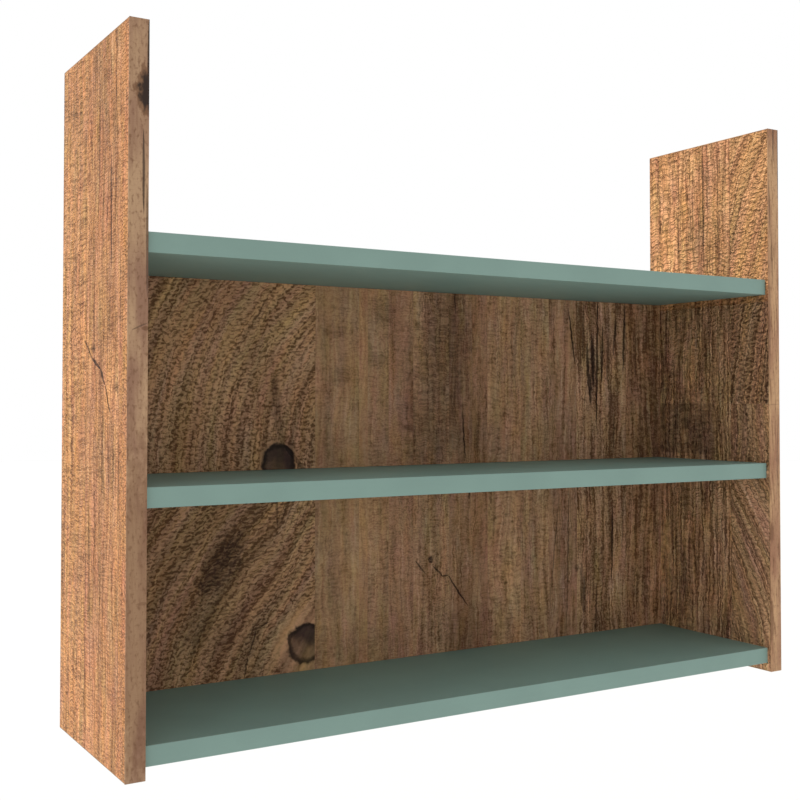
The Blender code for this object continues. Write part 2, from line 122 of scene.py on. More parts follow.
def shade(red, green, blue):
    """A colour as a screen shows it, from 0 to 255, as the linear values that materials take."""
    return tuple((part / 255.0) ** 2.2 for part in (red, green, blue))


def colour_property(name, description, *screen_colour):
    """A setting for a colour, given as a screen shows it."""
    return FloatVectorProperty(
        name=name, description=description, subtype="COLOR", min=0.0, max=1.0, default=shade(*screen_colour))


def length_property(name, description, default):
    """A setting for a length in metres."""
    return FloatProperty(
        name=name, description=description, unit="LENGTH", min=0.0, max=5.0, precision=5, default=default)


class PineFinish(bpy.types.PropertyGroup):
    """The rough-sawn pine print on the side and back boards and their edge bands."""

    light: colour_property("Light wood", "Colour of the raised early wood", 190, 140, 101)
    # the palest strands lie on the raised ridges, so this colour is also their painted highlight
    pale: colour_property("Pale wood", "Colour of the palest strands", 226, 180, 134)
    brown: colour_property("Brown wood", "Colour in the saw marks and torn grain", 106, 71, 46)
    heart: colour_property("Knot", "Colour inside the knots", 54, 40, 36)
    stain: colour_property("Stain", "Colour of the soft dark patches", 54, 37, 28)
    # also the colour of the painted shade line along the left band's inner edge
    crack: colour_property("Crack", "Colour in the cracks and knots", 38, 27, 21)
    chips: colour_property("Chipboard", "Colour of the bare chipboard core", 176, 146, 106)
    relief: length_property("Relief", "Depth of the embossed grain", 0.0015)
    band_relief: length_property("Band relief", "Depth of the grain in the edge bands", 0.00012)


class SageFinish(bpy.types.PropertyGroup):
    """The plain sage print on the shelves."""

    colour: colour_property("Sage", "Colour of the shelves", 126, 152, 143)
    relief: length_property("Relief", "Depth of the fine pearl emboss", 0.00002)


class FittingSizes(bpy.types.PropertyGroup):
    """Sizes and colours of the cam locks, dowels and hangers."""

    zinc: colour_property("Zinc", "Colour of the die-cast cams", 186, 186, 182)
    steel: colour_property("Steel", "Colour of the plated bolts, plates and screws", 202, 202, 198)
    beech: colour_property("Beech", "Colour of the dowels", 203, 166, 122)
    segments: IntProperty(name="Segments", description="Facets round a fitting", min=12, max=256, default=64)
    band_rounding: length_property("Band rounding", "Radius along the edge bands' long edges", 0.0005)
    bore_gap: length_property("Bore gap", "Room round a cam in its bore", 0.0004)
    cam_edge: length_property("Cam edge", "Chamfer round a cam's face", 0.0004)
    head: length_property("Bolt head", "Diameter of the ball at the end of a cam bolt", 0.0068)
    head_offset: length_property("Head offset", "Ball's centre from the cam's axis", 0.0013)
    draw: length_property("Cam draw", "How far a cam pulls its bolt in over half a turn", 0.0012)
    neck: length_property("Bolt neck", "Diameter of a cam bolt between collar and ball", 0.0040)
    collar: length_property("Bolt collar", "Diameter of the collar on a cam bolt", 0.0074)
    collar_length: length_property("Collar length", "Length of the collar on a cam bolt", 0.0020)
    thread: length_property("Bolt thread", "Diameter over the thread of a cam bolt", 0.0050)
    thread_length: length_property("Thread length", "Length of the thread of a cam bolt", 0.0110)
    thread_pitch: length_property("Thread pitch", "Rise of a cam bolt's thread in one turn", 0.0022)
    cross: length_property("Cam cross", "Length of the driver cross in a cam", 0.0075)
    cross_width: length_property("Cross width", "Width of the driver cross in a cam", 0.0016)
    cross_depth: length_property("Cross depth", "Depth of the driver cross in a cam", 0.0025)
    gap: length_property("Seat gap", "Room between pieces that meet", 0.0003)
    flute: length_property("Flute", "Depth of the flutes in a dowel", 0.0003)
    dowel_edge: length_property("Dowel edge", "Chamfer on a dowel's ends", 0.0010)
    keyhole: length_property("Keyhole", "Diameter of the entry in a hanger plate", 0.0100)
    keyhole_slot: length_property("Keyhole slot", "Width of the slot in a hanger plate", 0.0050)
    keyhole_travel: length_property("Keyhole travel", "Entry's centre to the hanging point", 0.0120)
    plate_edge: length_property("Plate edge", "Rounding of a hanger plate's edges", 0.0003)
    screw: length_property("Screw", "Diameter over the thread of a hanger screw", 0.0035)
    screw_pitch: length_property("Screw pitch", "Rise of a hanger screw's thread in one turn", 0.0013)
    screw_tip: length_property("Screw tip", "Length of a hanger screw's point", 0.0030)


class StageSettings(bpy.types.PropertyGroup):
    """Camera, light and floor."""

    camera: FloatVectorProperty(
        name="Camera", description="Where the camera stands",
        subtype="TRANSLATION", unit="LENGTH", default=(-0.713437, -1.183965, -0.088871))
    tilt: FloatProperty(
        name="Tilt", description="How far the camera looks above the horizon",
        subtype="ANGLE", unit="ROTATION", default=math.radians(1.356))
    heading: FloatProperty(
        name="Heading", description="How far the camera is turned to the right of straight ahead",
        subtype="ANGLE", unit="ROTATION", default=math.radians(31.890))
    lens: FloatProperty(
        name="Lens", description="Focal length in millimetres", min=10.0, max=300.0, default=53.04)
    sensor: FloatProperty(
        name="Sensor", description="Width of the camera's sensor in millimetres",
        min=1.0, max=100.0, default=36.0)
    shift: FloatVectorProperty(
        name="Shift", description="Sideways and upward shift of the frame",
        size=2, default=(-0.0300, -0.0324))
    sky: FloatProperty(
        name="Soft light", description="Strength of the even light from all round",
        min=0.0, max=10.0, default=0.8)
    key: FloatProperty(
        name="Key light", description="Strength of the light from the upper left",
        min=0.0, max=50.0, default=2.72)
    key_spread: FloatProperty(
        name="Key spread", description="How wide the key light is, seen from the shelf",
        subtype="ANGLE", unit="ROTATION", default=math.radians(12.0))
    key_travel: FloatVectorProperty(
        name="Key direction", description="Which way the key light travels",
        subtype="DIRECTION", default=(0.60, -0.22, -0.77))
    floor_drop: length_property("Floor drop", "Height of the shelf's feet above the floor", 1.2)
    floor_radius: FloatProperty(
        name="Floor radius", description="Radius of the floor",
        unit="LENGTH", min=1.0, max=100.0, default=30.0)
    floor_colour: colour_property("Floor", "Colour of the floor", 215, 215, 213)


class Wire:
    """One value in a node tree, so that a pattern can be written as plain sums."""

    def __init__(self, tree, socket):
        self.tree = tree
        self.socket = socket

    def __add__(self, other):
        return maths("ADD", self, other)

    def __sub__(self, other):
        return maths("SUBTRACT", self, other)

    def __mul__(self, other):
        return maths("MULTIPLY", self, other)

    def __truediv__(self, other):
        return maths("DIVIDE", self, other)


def feed(tree, socket, value):
    """Link a wire to a socket, or set the socket to a plain value."""
    if isinstance(value, Wire):
        tree.links.new(value.socket, socket)
    else:
        socket.default_value = value


def connect(tree, kind, inputs, output=0, **settings):
    """Add a node, feed its inputs and return one of its outputs."""
    node = tree.nodes.new(kind)
    for setting, value in settings.items():
        setattr(node, setting, value)
    for place, value in inputs.items():
        feed(tree, node.inputs[place], value)
    return Wire(tree, node.outputs[output])


def maths(operation, first, *others):
    """A sum of values, the first of which is a wire."""
    inputs = dict(enumerate((first, *others)))
    return connect(first.tree, "ShaderNodeMath", inputs, operation=operation)


def ease(value, low, high):
    """0 up to low and 1 from high on, smooth between; it falls where low is the larger."""
    inputs = {"Value": value, "From Min": low, "From Max": high}
    return connect(value.tree, "ShaderNodeMapRange", inputs, interpolation_type="SMOOTHSTEP")


def between(share, low, high):
    """A number that runs from low to high with a share from 0 to 1."""
    inputs = {"Value": share, "To Min": low, "To Max": high}
    return connect(share.tree, "ShaderNodeMapRange", inputs)


def noise(across, along, spots, seed, output=0):
    """A pattern's noise, from 0 to 1."""
    place = {0: across / spots.width, 1: along / spots.length, 2: seed}
    vector = connect(across.tree, "ShaderNodeCombineXYZ", place)
    inputs = {"Vector": vector, "Scale": 1.0, "Detail": spots.detail}
    return connect(across.tree, "ShaderNodeTexNoise", inputs, output=output)


def sway(across, along, spots, seed):
    """A pattern's noise as a move to either side."""
    return (noise(across, along, spots, seed) - 0.5) * spots.swing


def marks(value, spots):
    """How much of a pattern's mark shows at a value of its noise."""
    return ease(value, *spots.fade)


def spotted(across, along, spots, seed):
    """A pattern's marks, from 0 to 1."""
    return marks(noise(across, along, spots, seed), spots)


def grit(place, spots_per_metre, detail):
    """Round spots of noise."""
    inputs = {"Vector": place, "Scale": spots_per_metre, "Detail": detail}
    return connect(place.tree, "ShaderNodeTexNoise", inputs)


def times(colour, share):
    """A plain colour made darker or paler."""
    return tuple(part * share for part in colour)


def opaque(colour):
    """A colour as a colour socket takes it."""
    return colour if isinstance(colour, Wire) else (*colour[:3], 1.0)


def blend(share, low, high):
    """A colour between two others."""
    inputs = {0: share, 6: opaque(low), 7: opaque(high)}
    return connect(share.tree, "ShaderNodeMix", inputs, output=2, data_type="RGBA")


def tinted(colour, tint):
    """A colour times another."""
    inputs = {0: 1.0, 6: opaque(tint), 7: opaque(colour)}
    return connect(tint.tree, "ShaderNodeMix", inputs, output=2, data_type="RGBA", blend_type="MULTIPLY")


def steps(value, stops):
    """Colour and alpha that change at each stop, given as (place from 0 to 1, four numbers)."""
    ramp = value.tree.nodes.new("ShaderNodeValToRGB")
    feed(value.tree, ramp.inputs[0], value)
    points = ramp.color_ramp
    points.interpolation = "CONSTANT"
    while len(points.elements) < len(stops):
        points.elements.new(1.0)
    while len(points.elements) > len(stops):
        points.elements.remove(points.elements[-1])
    for point, (place, colour) in zip(points.elements, stops):
        point.position = place
        point.color = colour
    return Wire(value.tree, ramp.outputs[0]), Wire(value.tree, ramp.outputs[1])


def split(wire, kind):
    """The three parts of a vector or a colour."""
    node = wire.tree.nodes.new(kind)
    feed(wire.tree, node.inputs[0], wire)
    return [Wire(wire.tree, socket) for socket in node.outputs[:3]]


def new_material(name):
    """A material and its node tree."""
    material = bpy.data.materials.new(name)
    material.use_nodes = True
    return material, material.node_tree


def surface(material, colour, roughness, height, relief, metallic=0.0, shine=0.5):
    """Feed a material's shader."""
    tree = material.node_tree
    bump = connect(tree, "ShaderNodeBump", {"Height": height, "Distance": relief, "Strength": 1.0})
    values = {
        "Base Color": colour,
        "Roughness": roughness,
        "Metallic": metallic,
        "Specular IOR Level": shine,
        "Normal": bump,
    }
    shader = tree.nodes["Principled BSDF"]
    for socket, value in values.items():
        feed(tree, shader.inputs[socket], value)
    return material


def object_place(tree):
    """Place on a piece, in metres."""
    return connect(tree, "ShaderNodeTexCoord", {}, output="Object")


def place_in_mm(tree):
    """Place in millimetres: right of the middle, back from the front edges, and up from the feet."""
    x, y, z = split(object_place(tree), "ShaderNodeSeparateXYZ")
    return x * PER_METRE, (y - CAD_LOW.y) * PER_METRE, (z - CAD_LOW.z) * PER_METRE


@dataclass
class Spots:
    """A pattern of noise in spots, in mm, and what the marks that it makes do."""

    width: float
    length: float
    detail: float = 2.0
    fade: tuple = (0.35, 0.65)  # noise at which a mark starts and at which it is full
    swing: float = 1.0  # how far the noise moves something, from end to end
    ink: float = 1.0  # how dark a full mark is
    depth: float = 1.0  # how deep it is, as a share of the relief


@dataclass
class Plank:
    """One plank of the print, from its start across the face in mm to the next plank's start."""

    start: float
    tint: tuple
    rings: float = 0.0  # 1 where the grain runs round a knot
    torn: float = 0.3  # how dark the short torn marks are
    saw: float = 0.4  # how dark the long saw ripples are
    streaks: float = 0.3  # how dark the lengthwise lines are
    bands: float = 0.15  # how dark the broad bands of late wood are
    coarse: float = 1.0  # size of the torn marks and the ripples
    emboss: float = 1.0  # depth of the relief
    column: float = 14.0  # width in mm of the columns that the ripples lie in


@dataclass
class Crack:
    """A crack from its top to its foot, each as (mm across, mm up). A wide one is a bundle of fine lines."""

    top: tuple
    foot: tuple
    width: float
    depth: float = 1.0


@dataclass
class Knot:
    """A knot at (mm across, mm up). It shows only in planks whose grain runs round knots."""

    centre: tuple
    radius: float
    tall: float = 1.2
    calm: float = 2.6  # how far the calm wood round it reaches, in radii
    palest: float = 0.55  # how much of its heart's colour the palest part of it has


@dataclass
class Stain:
    """A soft dark patch at (mm across, mm up) with its half width and half height."""

    centre: tuple
    spread: tuple
    depth: float
    lean: float = 0.0  # mm across for each mm up
    square: bool = False  # a straight-sided patch with hard edges


@dataclass
class Zone:
    """How the colour and the marks change from a height in mm up. Its tone paints the cooler, less saturated
    colour that shade takes where a face lies in the bays.
    """

    start: float
    # tone: a tint over the print that paints the colour of shade in the bays
    tone: tuple = (1.0, 1.0, 1.0)
    ink: tuple = (1.0, 1.0, 1.0)  # share of the torn marks, the ripples and the lines


@dataclass
class PineFace:
    """What the print shows on one face, with the shade colour that its zones paint in the bays."""

    planks: tuple
    ring_centres: dict = field(default_factory=dict)  # height that a centre holds from, and the centre
    cracks: tuple = ()
    knots: tuple = ()
    stains: tuple = ()
    zones: tuple = (Zone(0.0),)
    seed: float = 0.0


@dataclass
class BandFace:
    """What the print shows on one side panel's edge bands."""

    pale: tuple
    deep: tuple
    streaks: float
    pores: float
    cracks: tuple
    stains: tuple
    seed: float


RING_REACH = 150.0  # distance from a ring centre at which a turn round it is a true length, in mm
TINT_RANGE = 2.0  # tints above 1 are stored as a share of this
COARSE_RANGE = 8.0  # sizes and depths as a share of this
COLUMN_RANGE = 40.0  # and widths of columns as a share of this
SEED_RANGE = 97.0
FACE_HEIGHT = (CAD_HIGH.z - CAD_LOW.z) * PER_METRE
CRACK_EDGE = 0.7  # width in mm of a crack's soft edge
FULL_FIBRE = 14.0  # width in mm from which a crack is all separate lines
HUE_SWING = (0.38, 0.30, 0.68)  # how far red, green and blue drift, from end to end
CRACK_INK = 0.92
CRACK_DEPTH = 0.5
MOST_APART = 0.6  # share of a crack that lies between its lines at most
NO_INK = (0.0, 0.0, 0.0)

# Patterns of the pine print: how the grain wanders, its marks, and the outlines of cracks, knots and stains
WANDER = Spots(70.0, 210.0, swing=26.0)
CRINKLE = Spots(6.0, 7.0, swing=7.0)
WAVER = Spots(9.0, 45.0, swing=6.0)
COLUMN_SHIFT = Spots(30.0, 400.0, swing=30.0)
TEARS = Spots(2.7, 1.8, fade=(0.44, 0.61), ink=0.7, depth=2.0)
RIPPLES = Spots(1.0, 1.9, 1.0, fade=(0.48, 0.59), ink=0.5, depth=1.2)
FURROWS = Spots(1.0, 60.0, fade=(0.38, 0.62), ink=0.8)
STRANDS = Spots(2.2, 60.0, 3.0, fade=(0.50, 0.66), swing=0.3, ink=0.6, depth=0.3)
LATE_WOOD = Spots(10.0, 190.0, 3.0, fade=(0.42, 0.66))
PATCHES = Spots(45.0, 130.0, 3.0)
MOTTLE = Spots(5.0, 8.0, fade=(0.48, 0.72), ink=0.22)
HUES = Spots(12.0, 50.0, 3.0)
CRACK_WOBBLE = Spots(22.0, 8.0, 3.0, swing=4.0)
CRACK_FIBRES = Spots(1.1, 48.0, fade=(0.58, 0.44))
KNOT_OUTLINE = Spots(11.0, 11.0, 3.0, swing=0.6)
STAIN_OUTLINE = Spots(5.0, 9.0, 3.0, swing=1.2)

# Columns of saw ripples
COLUMN_ARCH = 0.35  # how far the ripples bend in a column, as a share of its width
COLUMN_STEP = 3.7  # how far apart two columns lie in the noise
COLUMN_SPREAD = 0.8  # and how far the two sides of one
FURROW_EDGE = (0.36, 0.48)  # where a furrow starts and is full, in widths of a column from its middle

# Tints and shares of the pine print
DEEP_PATCH = (0.92, 0.89, 0.87)
PALE_PATCH = (1.08, 1.07, 1.02)
# pale strands on the raised ridges: the grain's pale strands and a painted highlight of the relief
PALE_STRANDS_AND_RIDGE_HIGHLIGHTS = (0.45, 0.30)  # noise at which a pale strand starts and is full
PALE_STRAND_AND_HIGHLIGHT_SHARE = 0.65
PINE_ROUGHNESS = (0.55, 0.75)
PINE_SHINE = 0.12

# Knots, in radii, each edge as where it starts and where it is full
HEART_EDGE = (1.2, 1.0)
RIM_OUTSIDE = (1.16, 1.04)
RIM_INSIDE = (0.72, 0.98)
HEART_FADE = (-0.5, 0.4)  # height over which a heart darkens
HEART_LEAN = 0.5  # height for each radius to the right
HEART_BREAK = 2.0  # how much the uneven outline breaks that up
HEART_INK = 0.9
RIM_INK = 0.8
CALM_SHARE = 0.8  # share of its marks that the calm wood loses

# Stains, in spreads
STAIN_EDGE = (1.2, 0.5)
SQUARE_EDGE = (1.02, 0.98)
STAIN_RIPPLES = (0.42, 0.58)  # noise of the ripples over which a stain goes from its least to its most ink
STAIN_INK = (0.47, 0.67)

# Edge bands
BAND_PATCHES = Spots(16.0, 90.0, 3.0)
BAND_STREAKS = Spots(2.4, 40.0, 3.0, fade=(0.48, 0.68), ink=0.6, depth=0.6)
BAND_HAIRS = Spots(7.0, 0.9, fade=(0.50, 0.70), ink=0.12)
BAND_PORES = Spots(2.6, 5.0, fade=(0.50, 0.74), ink=0.6)
BAND_WOBBLE = Spots(22.0, 8.0, 3.0, swing=0.8)
BAND_SLANT = 0.06  # mm across for each mm along
BAND_STAIN = (0.05, 0.45)  # depth of stain over which a band turns brown
BAND_KNOT = (0.45, 1.1)  # and then dark
BAND_STAIN_INK = 0.7
BAND_ROUGHNESS = (0.45, 0.60)
BAND_SHINE = 0.25

# Chipboard, sage, metal and beech
CHIPS_PER_METRE = 420.0
DUST_PER_METRE = 1500.0
CHIP_SHARE = 0.6  # how much of the tone the chips give, and the dust the rest
CHIP_RELIEF = 0.0002
CHIP_ROUGHNESS = (0.8, 0.95)
DARK_CHIPS = 0.5  # the darkest chips as a share of the palest
WOOD_SHINE = 0.2
PEARLS_PER_METRE = 900.0
CLOUDS_PER_METRE = 14.0
CLOUD_FADE = (0.3, 0.7)
PEARL_SHARE = 0.4
SAGE_SPREAD = 0.06  # roughness either way
SAGE_SHADES = (0.96, 1.03)
SAGE_SHINE = 0.3
METAL_CLOUD = 8.0  # size of the clouds on metal as a multiple of its spots
METAL_FADE = (0.35, 0.62)
METAL_SPREAD = 0.12
DULL_METAL = 0.72
BEECH_FLECKS = Spots(0.35, 2.2, fade=(0.52, 0.66), ink=0.5)
BEECH_BANDS = Spots(1.6, 20.0, fade=(0.4, 0.7), ink=0.4)
BEECH_RELIEF = 0.00005
BEECH_ROUGHNESS = (0.6, 0.8)
DARK_BEECH = 0.62

# Prints of the faces, placed in mm across and up
BACK_FACE = PineFace(
    planks=(
        Plank(
            -382, (1.18, 1.17, 1.10), rings=1.0,
            torn=0.9, saw=0.3, streaks=0.36, bands=0.4, coarse=1.55, column=4.8),
        Plank(-133, (1.01, 1.02, 0.97), torn=0.28, saw=0.30, streaks=0.3, bands=0.25),
        Plank(-79, (1.08, 1.03, 0.92), torn=0.2, saw=0.3, streaks=0.3),
        Plank(-68, (0.99, 1.00, 0.95), torn=0.3, saw=0.5, streaks=0.25, bands=0.25),
        Plank(-37, (0.97, 0.90, 0.93), torn=0.35, saw=0.4, streaks=0.35, bands=0.25),
        Plank(-5, (1.10, 1.08, 1.05), torn=0.4, saw=0.4, streaks=0.5, bands=0.3),
        Plank(45, (0.79, 0.75, 0.74), torn=0.35, saw=0.4, streaks=0.7, bands=0.3),
        Plank(78, (0.88, 0.81, 0.77), torn=0.3, saw=0.4, streaks=0.6, bands=0.3),
        Plank(99, (1.10, 1.08, 1.02), torn=0.3, saw=0.5, streaks=0.5, bands=0.25, coarse=1.4, column=11.0),
        Plank(150, (1.04, 1.05, 1.02), torn=0.3, saw=0.5, streaks=0.5, bands=0.25, coarse=1.4, column=12.0),
        Plank(195, (0.93, 0.89, 0.92), torn=0.25, saw=0.4, streaks=0.7, bands=0.3, coarse=1.3, column=10.0),
        Plank(238, (1.15, 1.16, 1.14), torn=0.45, saw=0.4, streaks=1.0, bands=0.6, coarse=1.35, column=9.0),
        Plank(322, (1.11, 1.06, 1.00), torn=0.5, saw=0.4, streaks=0.8, bands=0.5, coarse=1.35, column=10.0),
    ),
    ring_centres={0: (237, -169), 231: (82, 234)},
    knots=(Knot((-173, 256), 18, 1.0, calm=1.35, palest=0.8), Knot((-139, 58), 21, 0.95)),
    cracks=(
        Crack((55, 452), (56, 424), 1.2),
        Crack((66, 312), (70, 246), 1.8),
        Crack((226, 442), (238, 366), 2.2),
        Crack((275, 454), (272, 290), 3.4),
        Crack((283, 420), (281, 345), 4.0, 0.9),
        *(
            Crack((place, 426 - 2 * drop), (place + 2, 350 - drop), 4.4)
            for place, drop in ((257, 14), (261, 34), (265, 8))
        ),
        Crack((268, 396), (267, 340), 4.0, 0.9),
        Crack((293, 405), (291, 345), 6.0, 0.6),
        Crack((321, 452), (317, 360), 3.0),
        Crack((306, 430), (300, 378), 3.6, 0.8),
        Crack((302, 310), (300, 252), 1.8, 0.8),
        Crack((340, 452), (338, 330), 2.0, 0.5),
        Crack((252, 452), (250, 372), 3.4, 0.6),
        Crack((-180, 352), (-168, 262), 8.0, 0.35),
        Crack((-172, 280), (-136, 240), 5.0, 0.8),
        Crack((-176, 232), (-174, 186), 3.0, 0.6),
        Crack((-182, 86), (-198, 79), 1.6, 0.8),
        Crack((-197, 81), (-208, 50), 1.8, 0.8),
        Crack((-208, 52), (-212, 28), 1.8, 0.8),
        *(Crack((start + 17, 230), (start, 184), 1.8, 0.4) for start in range(-172, -138, 6)),
        Crack((0, 138), (14, 122), 2.4, 0.8),
        Crack((24, 131), (38, 116), 2.4, 0.9),
        Crack((36, 117), (46, 118), 2.0, 0.9),
        Crack((44, 119), (74, 78), 2.2),
        Crack((75, 232), (76, 204), 1.6),
        Crack((212, 210), (196, 70), 1.6, 0.6),
        Crack((228, 228), (222, 26), 1.8, 0.7),
        Crack((299, 190), (296, 86), 2.8),
        Crack((247, 118), (250, 54), 8.0, 0.8),
        Crack((272, 95), (270, 26), 2.4, 0.7),
        Crack((318, 230), (314, 120), 2.4, 0.5),
    ),
    stains=(
        Stain((-238, 150), (26, 42), 1.25, 0.5),
        Stain((-258, 94), (18, 40), 0.7, 0.4),
        Stain((-232, 78), (52, 40), 0.45),
        Stain((-225, 150), (80, 84), 0.3),
        Stain((-172, 262), (24, 26), 0.6),
        Stain((-372, 420), (34, 60), 0.35),
        Stain((-175, 312), (7, 50), 0.55, -0.1),
        Stain((-97, 350), (14, 12), 0.5),
        Stain((-104, 400), (16, 8), 0.45),
        Stain((-50, 368), (14, 10), 0.55),
        Stain((-42, 425), (18, 18), 0.45),
        Stain((34, 350), (48, 130), 0.8, 0.13),
        Stain((50, 285), (60, 24), 0.4),
        Stain((64, 50), (56, 32), 0.22),
        Stain((-75, 50), (70, 20), 0.2),
        Stain((240, 112), (5, 5), 0.9),
        Stain((266, 362), (10, 34), 0.8),
        Stain((21, 137), (4, 4), 1.5),
        Stain((3, 405), (3, 3), 0.7),
        Stain((-6, 292), (12, 8), 0.7),
    ),
    # the tone paints the cooler, less saturated colour of shade over the whole back, which stands in the
    # bays
    zones=(Zone(0.0, tone=(0.92, 1.07, 1.28)),),
    seed=3.0,
)

LEFT_OUTER = PineFace(
    planks=(
        Plank(0, (1.18, 1.07, 0.96), torn=0.2, saw=0.8, streaks=0.4, coarse=1.2, emboss=2.6, column=6.0),
        Plank(20, (1.20, 1.14, 1.06), torn=0.2, saw=0.55, streaks=0.65, bands=0.3, emboss=2.4, column=9.0),
        Plank(122, (1.42, 1.36, 1.24), torn=0.25, saw=0.7, streaks=0.4, bands=0.25, emboss=3.6),
        Plank(
            191, (1.36, 1.33, 1.23),
            torn=0.4, saw=0.55, streaks=0.45, coarse=1.1, emboss=3.4, column=8.0),
    ),
    cracks=(
        Crack((49, 545), (46, 438), 3.4),
        Crack((36, 622), (34, 576), 1.8, 0.8),
        Crack((128, 380), (103, 361), 2.6, 0.9),
        Crack((106, 362), (75, 350), 3.4),
        Crack((78, 352), (62, 335), 4.2),
        Crack((64, 338), (47, 310), 3.0),
        Crack((125, 535), (124, 378), 1.4, 0.7),
        Crack((66, 430), (66, 365), 1.2, 0.6),
        Crack((22, 300), (23, 195), 1.8, 0.7),
        Crack((48, 330), (49, 262), 1.2, 0.6),
        Crack((177, 98), (175, 15), 2.6, 0.6),
        Crack((122, 110), (122, 60), 1.4, 0.6),
        Crack((20, 460), (21, 330), 1.6, 0.6),
    ),
    stains=(
        Stain((118, 530), (9, 6), 0.6),
        Stain((100, 370), (6, 4), 1.3),
        Stain((30, 334), (6, 5), 0.9),
        Stain((135, 235), (40, 90), 0.2),
        Stain((88, 642), (6, 6), 0.6),
        Stain((168, 602), (12, 6), 0.5),
        Stain((76, 258), (8, 6), 0.5),
        Stain((75, 600), (50, 80), 0.28),
        Stain((60, 180), (34, 60), 0.16),
    ),
    seed=11.0,
)

RIGHT_INNER = PineFace(
    planks=(
        Plank(
            0, (1.44, 1.40, 1.30), rings=1.0,
            torn=0.6, saw=0.45, streaks=0.45, coarse=1.9, emboss=6.2, column=7.0),
        Plank(60, (1.30, 1.26, 1.18), torn=0.3, saw=0.45, streaks=0.6, coarse=1.6, emboss=5.2, column=9.0),
        Plank(
            122, (1.40, 1.36, 1.26),
            torn=0.25, saw=0.65, streaks=0.55, coarse=2.0, emboss=5.6, column=13.0),
        Plank(
            187, (1.40, 1.36, 1.26),
            torn=0.25, saw=0.65, streaks=0.5, coarse=2.0, emboss=5.6, column=9.0),
    ),
    ring_centres={0: (400, -55), 240: (400, 274), 319: (-700, 250)},
    cracks=(
        Crack((108, 650), (106, 490), 2.6, 0.8),
        Crack((150, 650), (151, 470), 1.8, 0.6),
        Crack((186, 610), (185, 535), 2.6, 0.6),
        Crack((125, 640), (126, 500), 1.4, 0.5),
        Crack((62, 650), (61, 445), 1.4, 0.5),
        Crack((82, 650), (81, 470), 1.6, 0.5),
    ),
    stains=(
        Stain((138, 287), (49, 32), 0.65, square=True),
        Stain((95, 540), (28, 60), 0.16),
        Stain((75, 600), (16, 30), 0.2),
    ),
    # below 440 mm, in the bays under the top shelf, the tones paint the cooler, less saturated colour of
    # shade, and from 440 mm up the wood is lit; the ink shares change the marks
    zones=(
        Zone(0.0, tone=(1.04, 1.19, 1.46), ink=(0.5, 0.8, 1.6)),
        Zone(240.0, tone=(1.05, 1.20, 1.46), ink=(0.8, 0.8, 1.6)),
        Zone(319.0, tone=(1.10, 1.26, 1.52), ink=(1.3, 0.8, 1.6)),
        Zone(440.0, tone=(1.08, 1.09, 1.10)),
    ),
    seed=23.0,
)

LEFT_INNER = PineFace(
    planks=(
        Plank(0, (1.16, 1.12, 1.04), saw=0.6, streaks=0.6, coarse=1.4, emboss=2.6, column=9.0),
        Plank(46, (1.04, 1.02, 0.98), saw=0.45, streaks=0.8, bands=0.3, emboss=2.0, column=8.0),
        Plank(
            118, (1.16, 1.12, 1.06), rings=1.0,
            torn=0.8, saw=0.4, streaks=0.5, coarse=1.4, emboss=2.6, column=6.0),
        Plank(176, (1.10, 1.08, 1.02), saw=0.6, streaks=0.7, emboss=2.2, column=11.0),
    ),
    ring_centres={0: (420, 60), 240: (430, 250), 431: (460, 470)},
    cracks=(
        Crack((80, 610), (78, 480), 2.4, 0.9),
        Crack((30, 330), (33, 210), 2.0, 0.8),
        Crack((98, 200), (96, 90), 1.6, 0.7),
    ),
    stains=(Stain((75, 570), (30, 60), 0.25),),
    seed=31.0,
)

RIGHT_OUTER = PineFace(
    planks=(
        Plank(0, (1.14, 1.08, 1.00), torn=0.2, saw=0.8, streaks=0.4, coarse=1.2, emboss=2.4, column=6.0),
        Plank(24, (1.02, 0.98, 0.94), torn=0.2, saw=0.45, streaks=0.9, bands=0.3, emboss=1.8, column=9.0),
        Plank(
            104, (1.16, 1.13, 1.06), rings=1.0,
            torn=0.8, saw=0.4, streaks=0.5, coarse=1.2, emboss=2.4, column=6.0),
        Plank(160, (1.10, 1.08, 1.02), saw=0.55, streaks=0.7, bands=0.25, emboss=2.4),
    ),
    ring_centres={0: (-240, 120), 236: (-300, 330)},
    knots=(Knot((134, 236), 13, 1.4),),
    cracks=(
        Crack((62, 590), (58, 450), 2.4, 0.9),
        Crack((36, 420), (37, 330), 1.8, 0.8),
        Crack((170, 190), (172, 60), 2.2, 0.8),
    ),
    stains=(Stain((70, 300), (40, 80), 0.2),),
    seed=43.0,
)

BACK_REAR = PineFace(
    planks=(
        Plank(-382, (1.06, 1.04, 1.00), saw=0.5, streaks=0.8, bands=0.3, column=10.0),
        Plank(-250, (0.92, 0.90, 0.88), saw=0.4, streaks=0.6, bands=0.3),
        Plank(-140, (1.08, 1.06, 1.01), torn=0.2, saw=0.6, streaks=0.8, coarse=1.1, column=11.0),
        Plank(-30, (1.12, 1.08, 1.02), rings=1.0, torn=0.9, saw=0.35, streaks=0.5, bands=0.35, column=5.0),
        Plank(120, (1.03, 1.01, 0.98), saw=0.5, streaks=0.9, bands=0.4, column=9.0),
        Plank(262, (0.94, 0.91, 0.89), saw=0.4, streaks=0.7, bands=0.3),
    ),
    ring_centres={0: (480, -60), 231: (420, 240)},
    knots=(Knot((60, 130), 15), Knot((20, 360), 12)),
    cracks=(
        Crack((-320, 440), (-322, 330), 2.4),
        Crack((-80, 210), (-84, 90), 2.0),
        Crack((200, 430), (196, 300), 2.2),
        Crack((310, 180), (313, 60), 2.4),
    ),
    stains=(Stain((20, 160), (60, 70), 0.3),),
    seed=59.0,
)

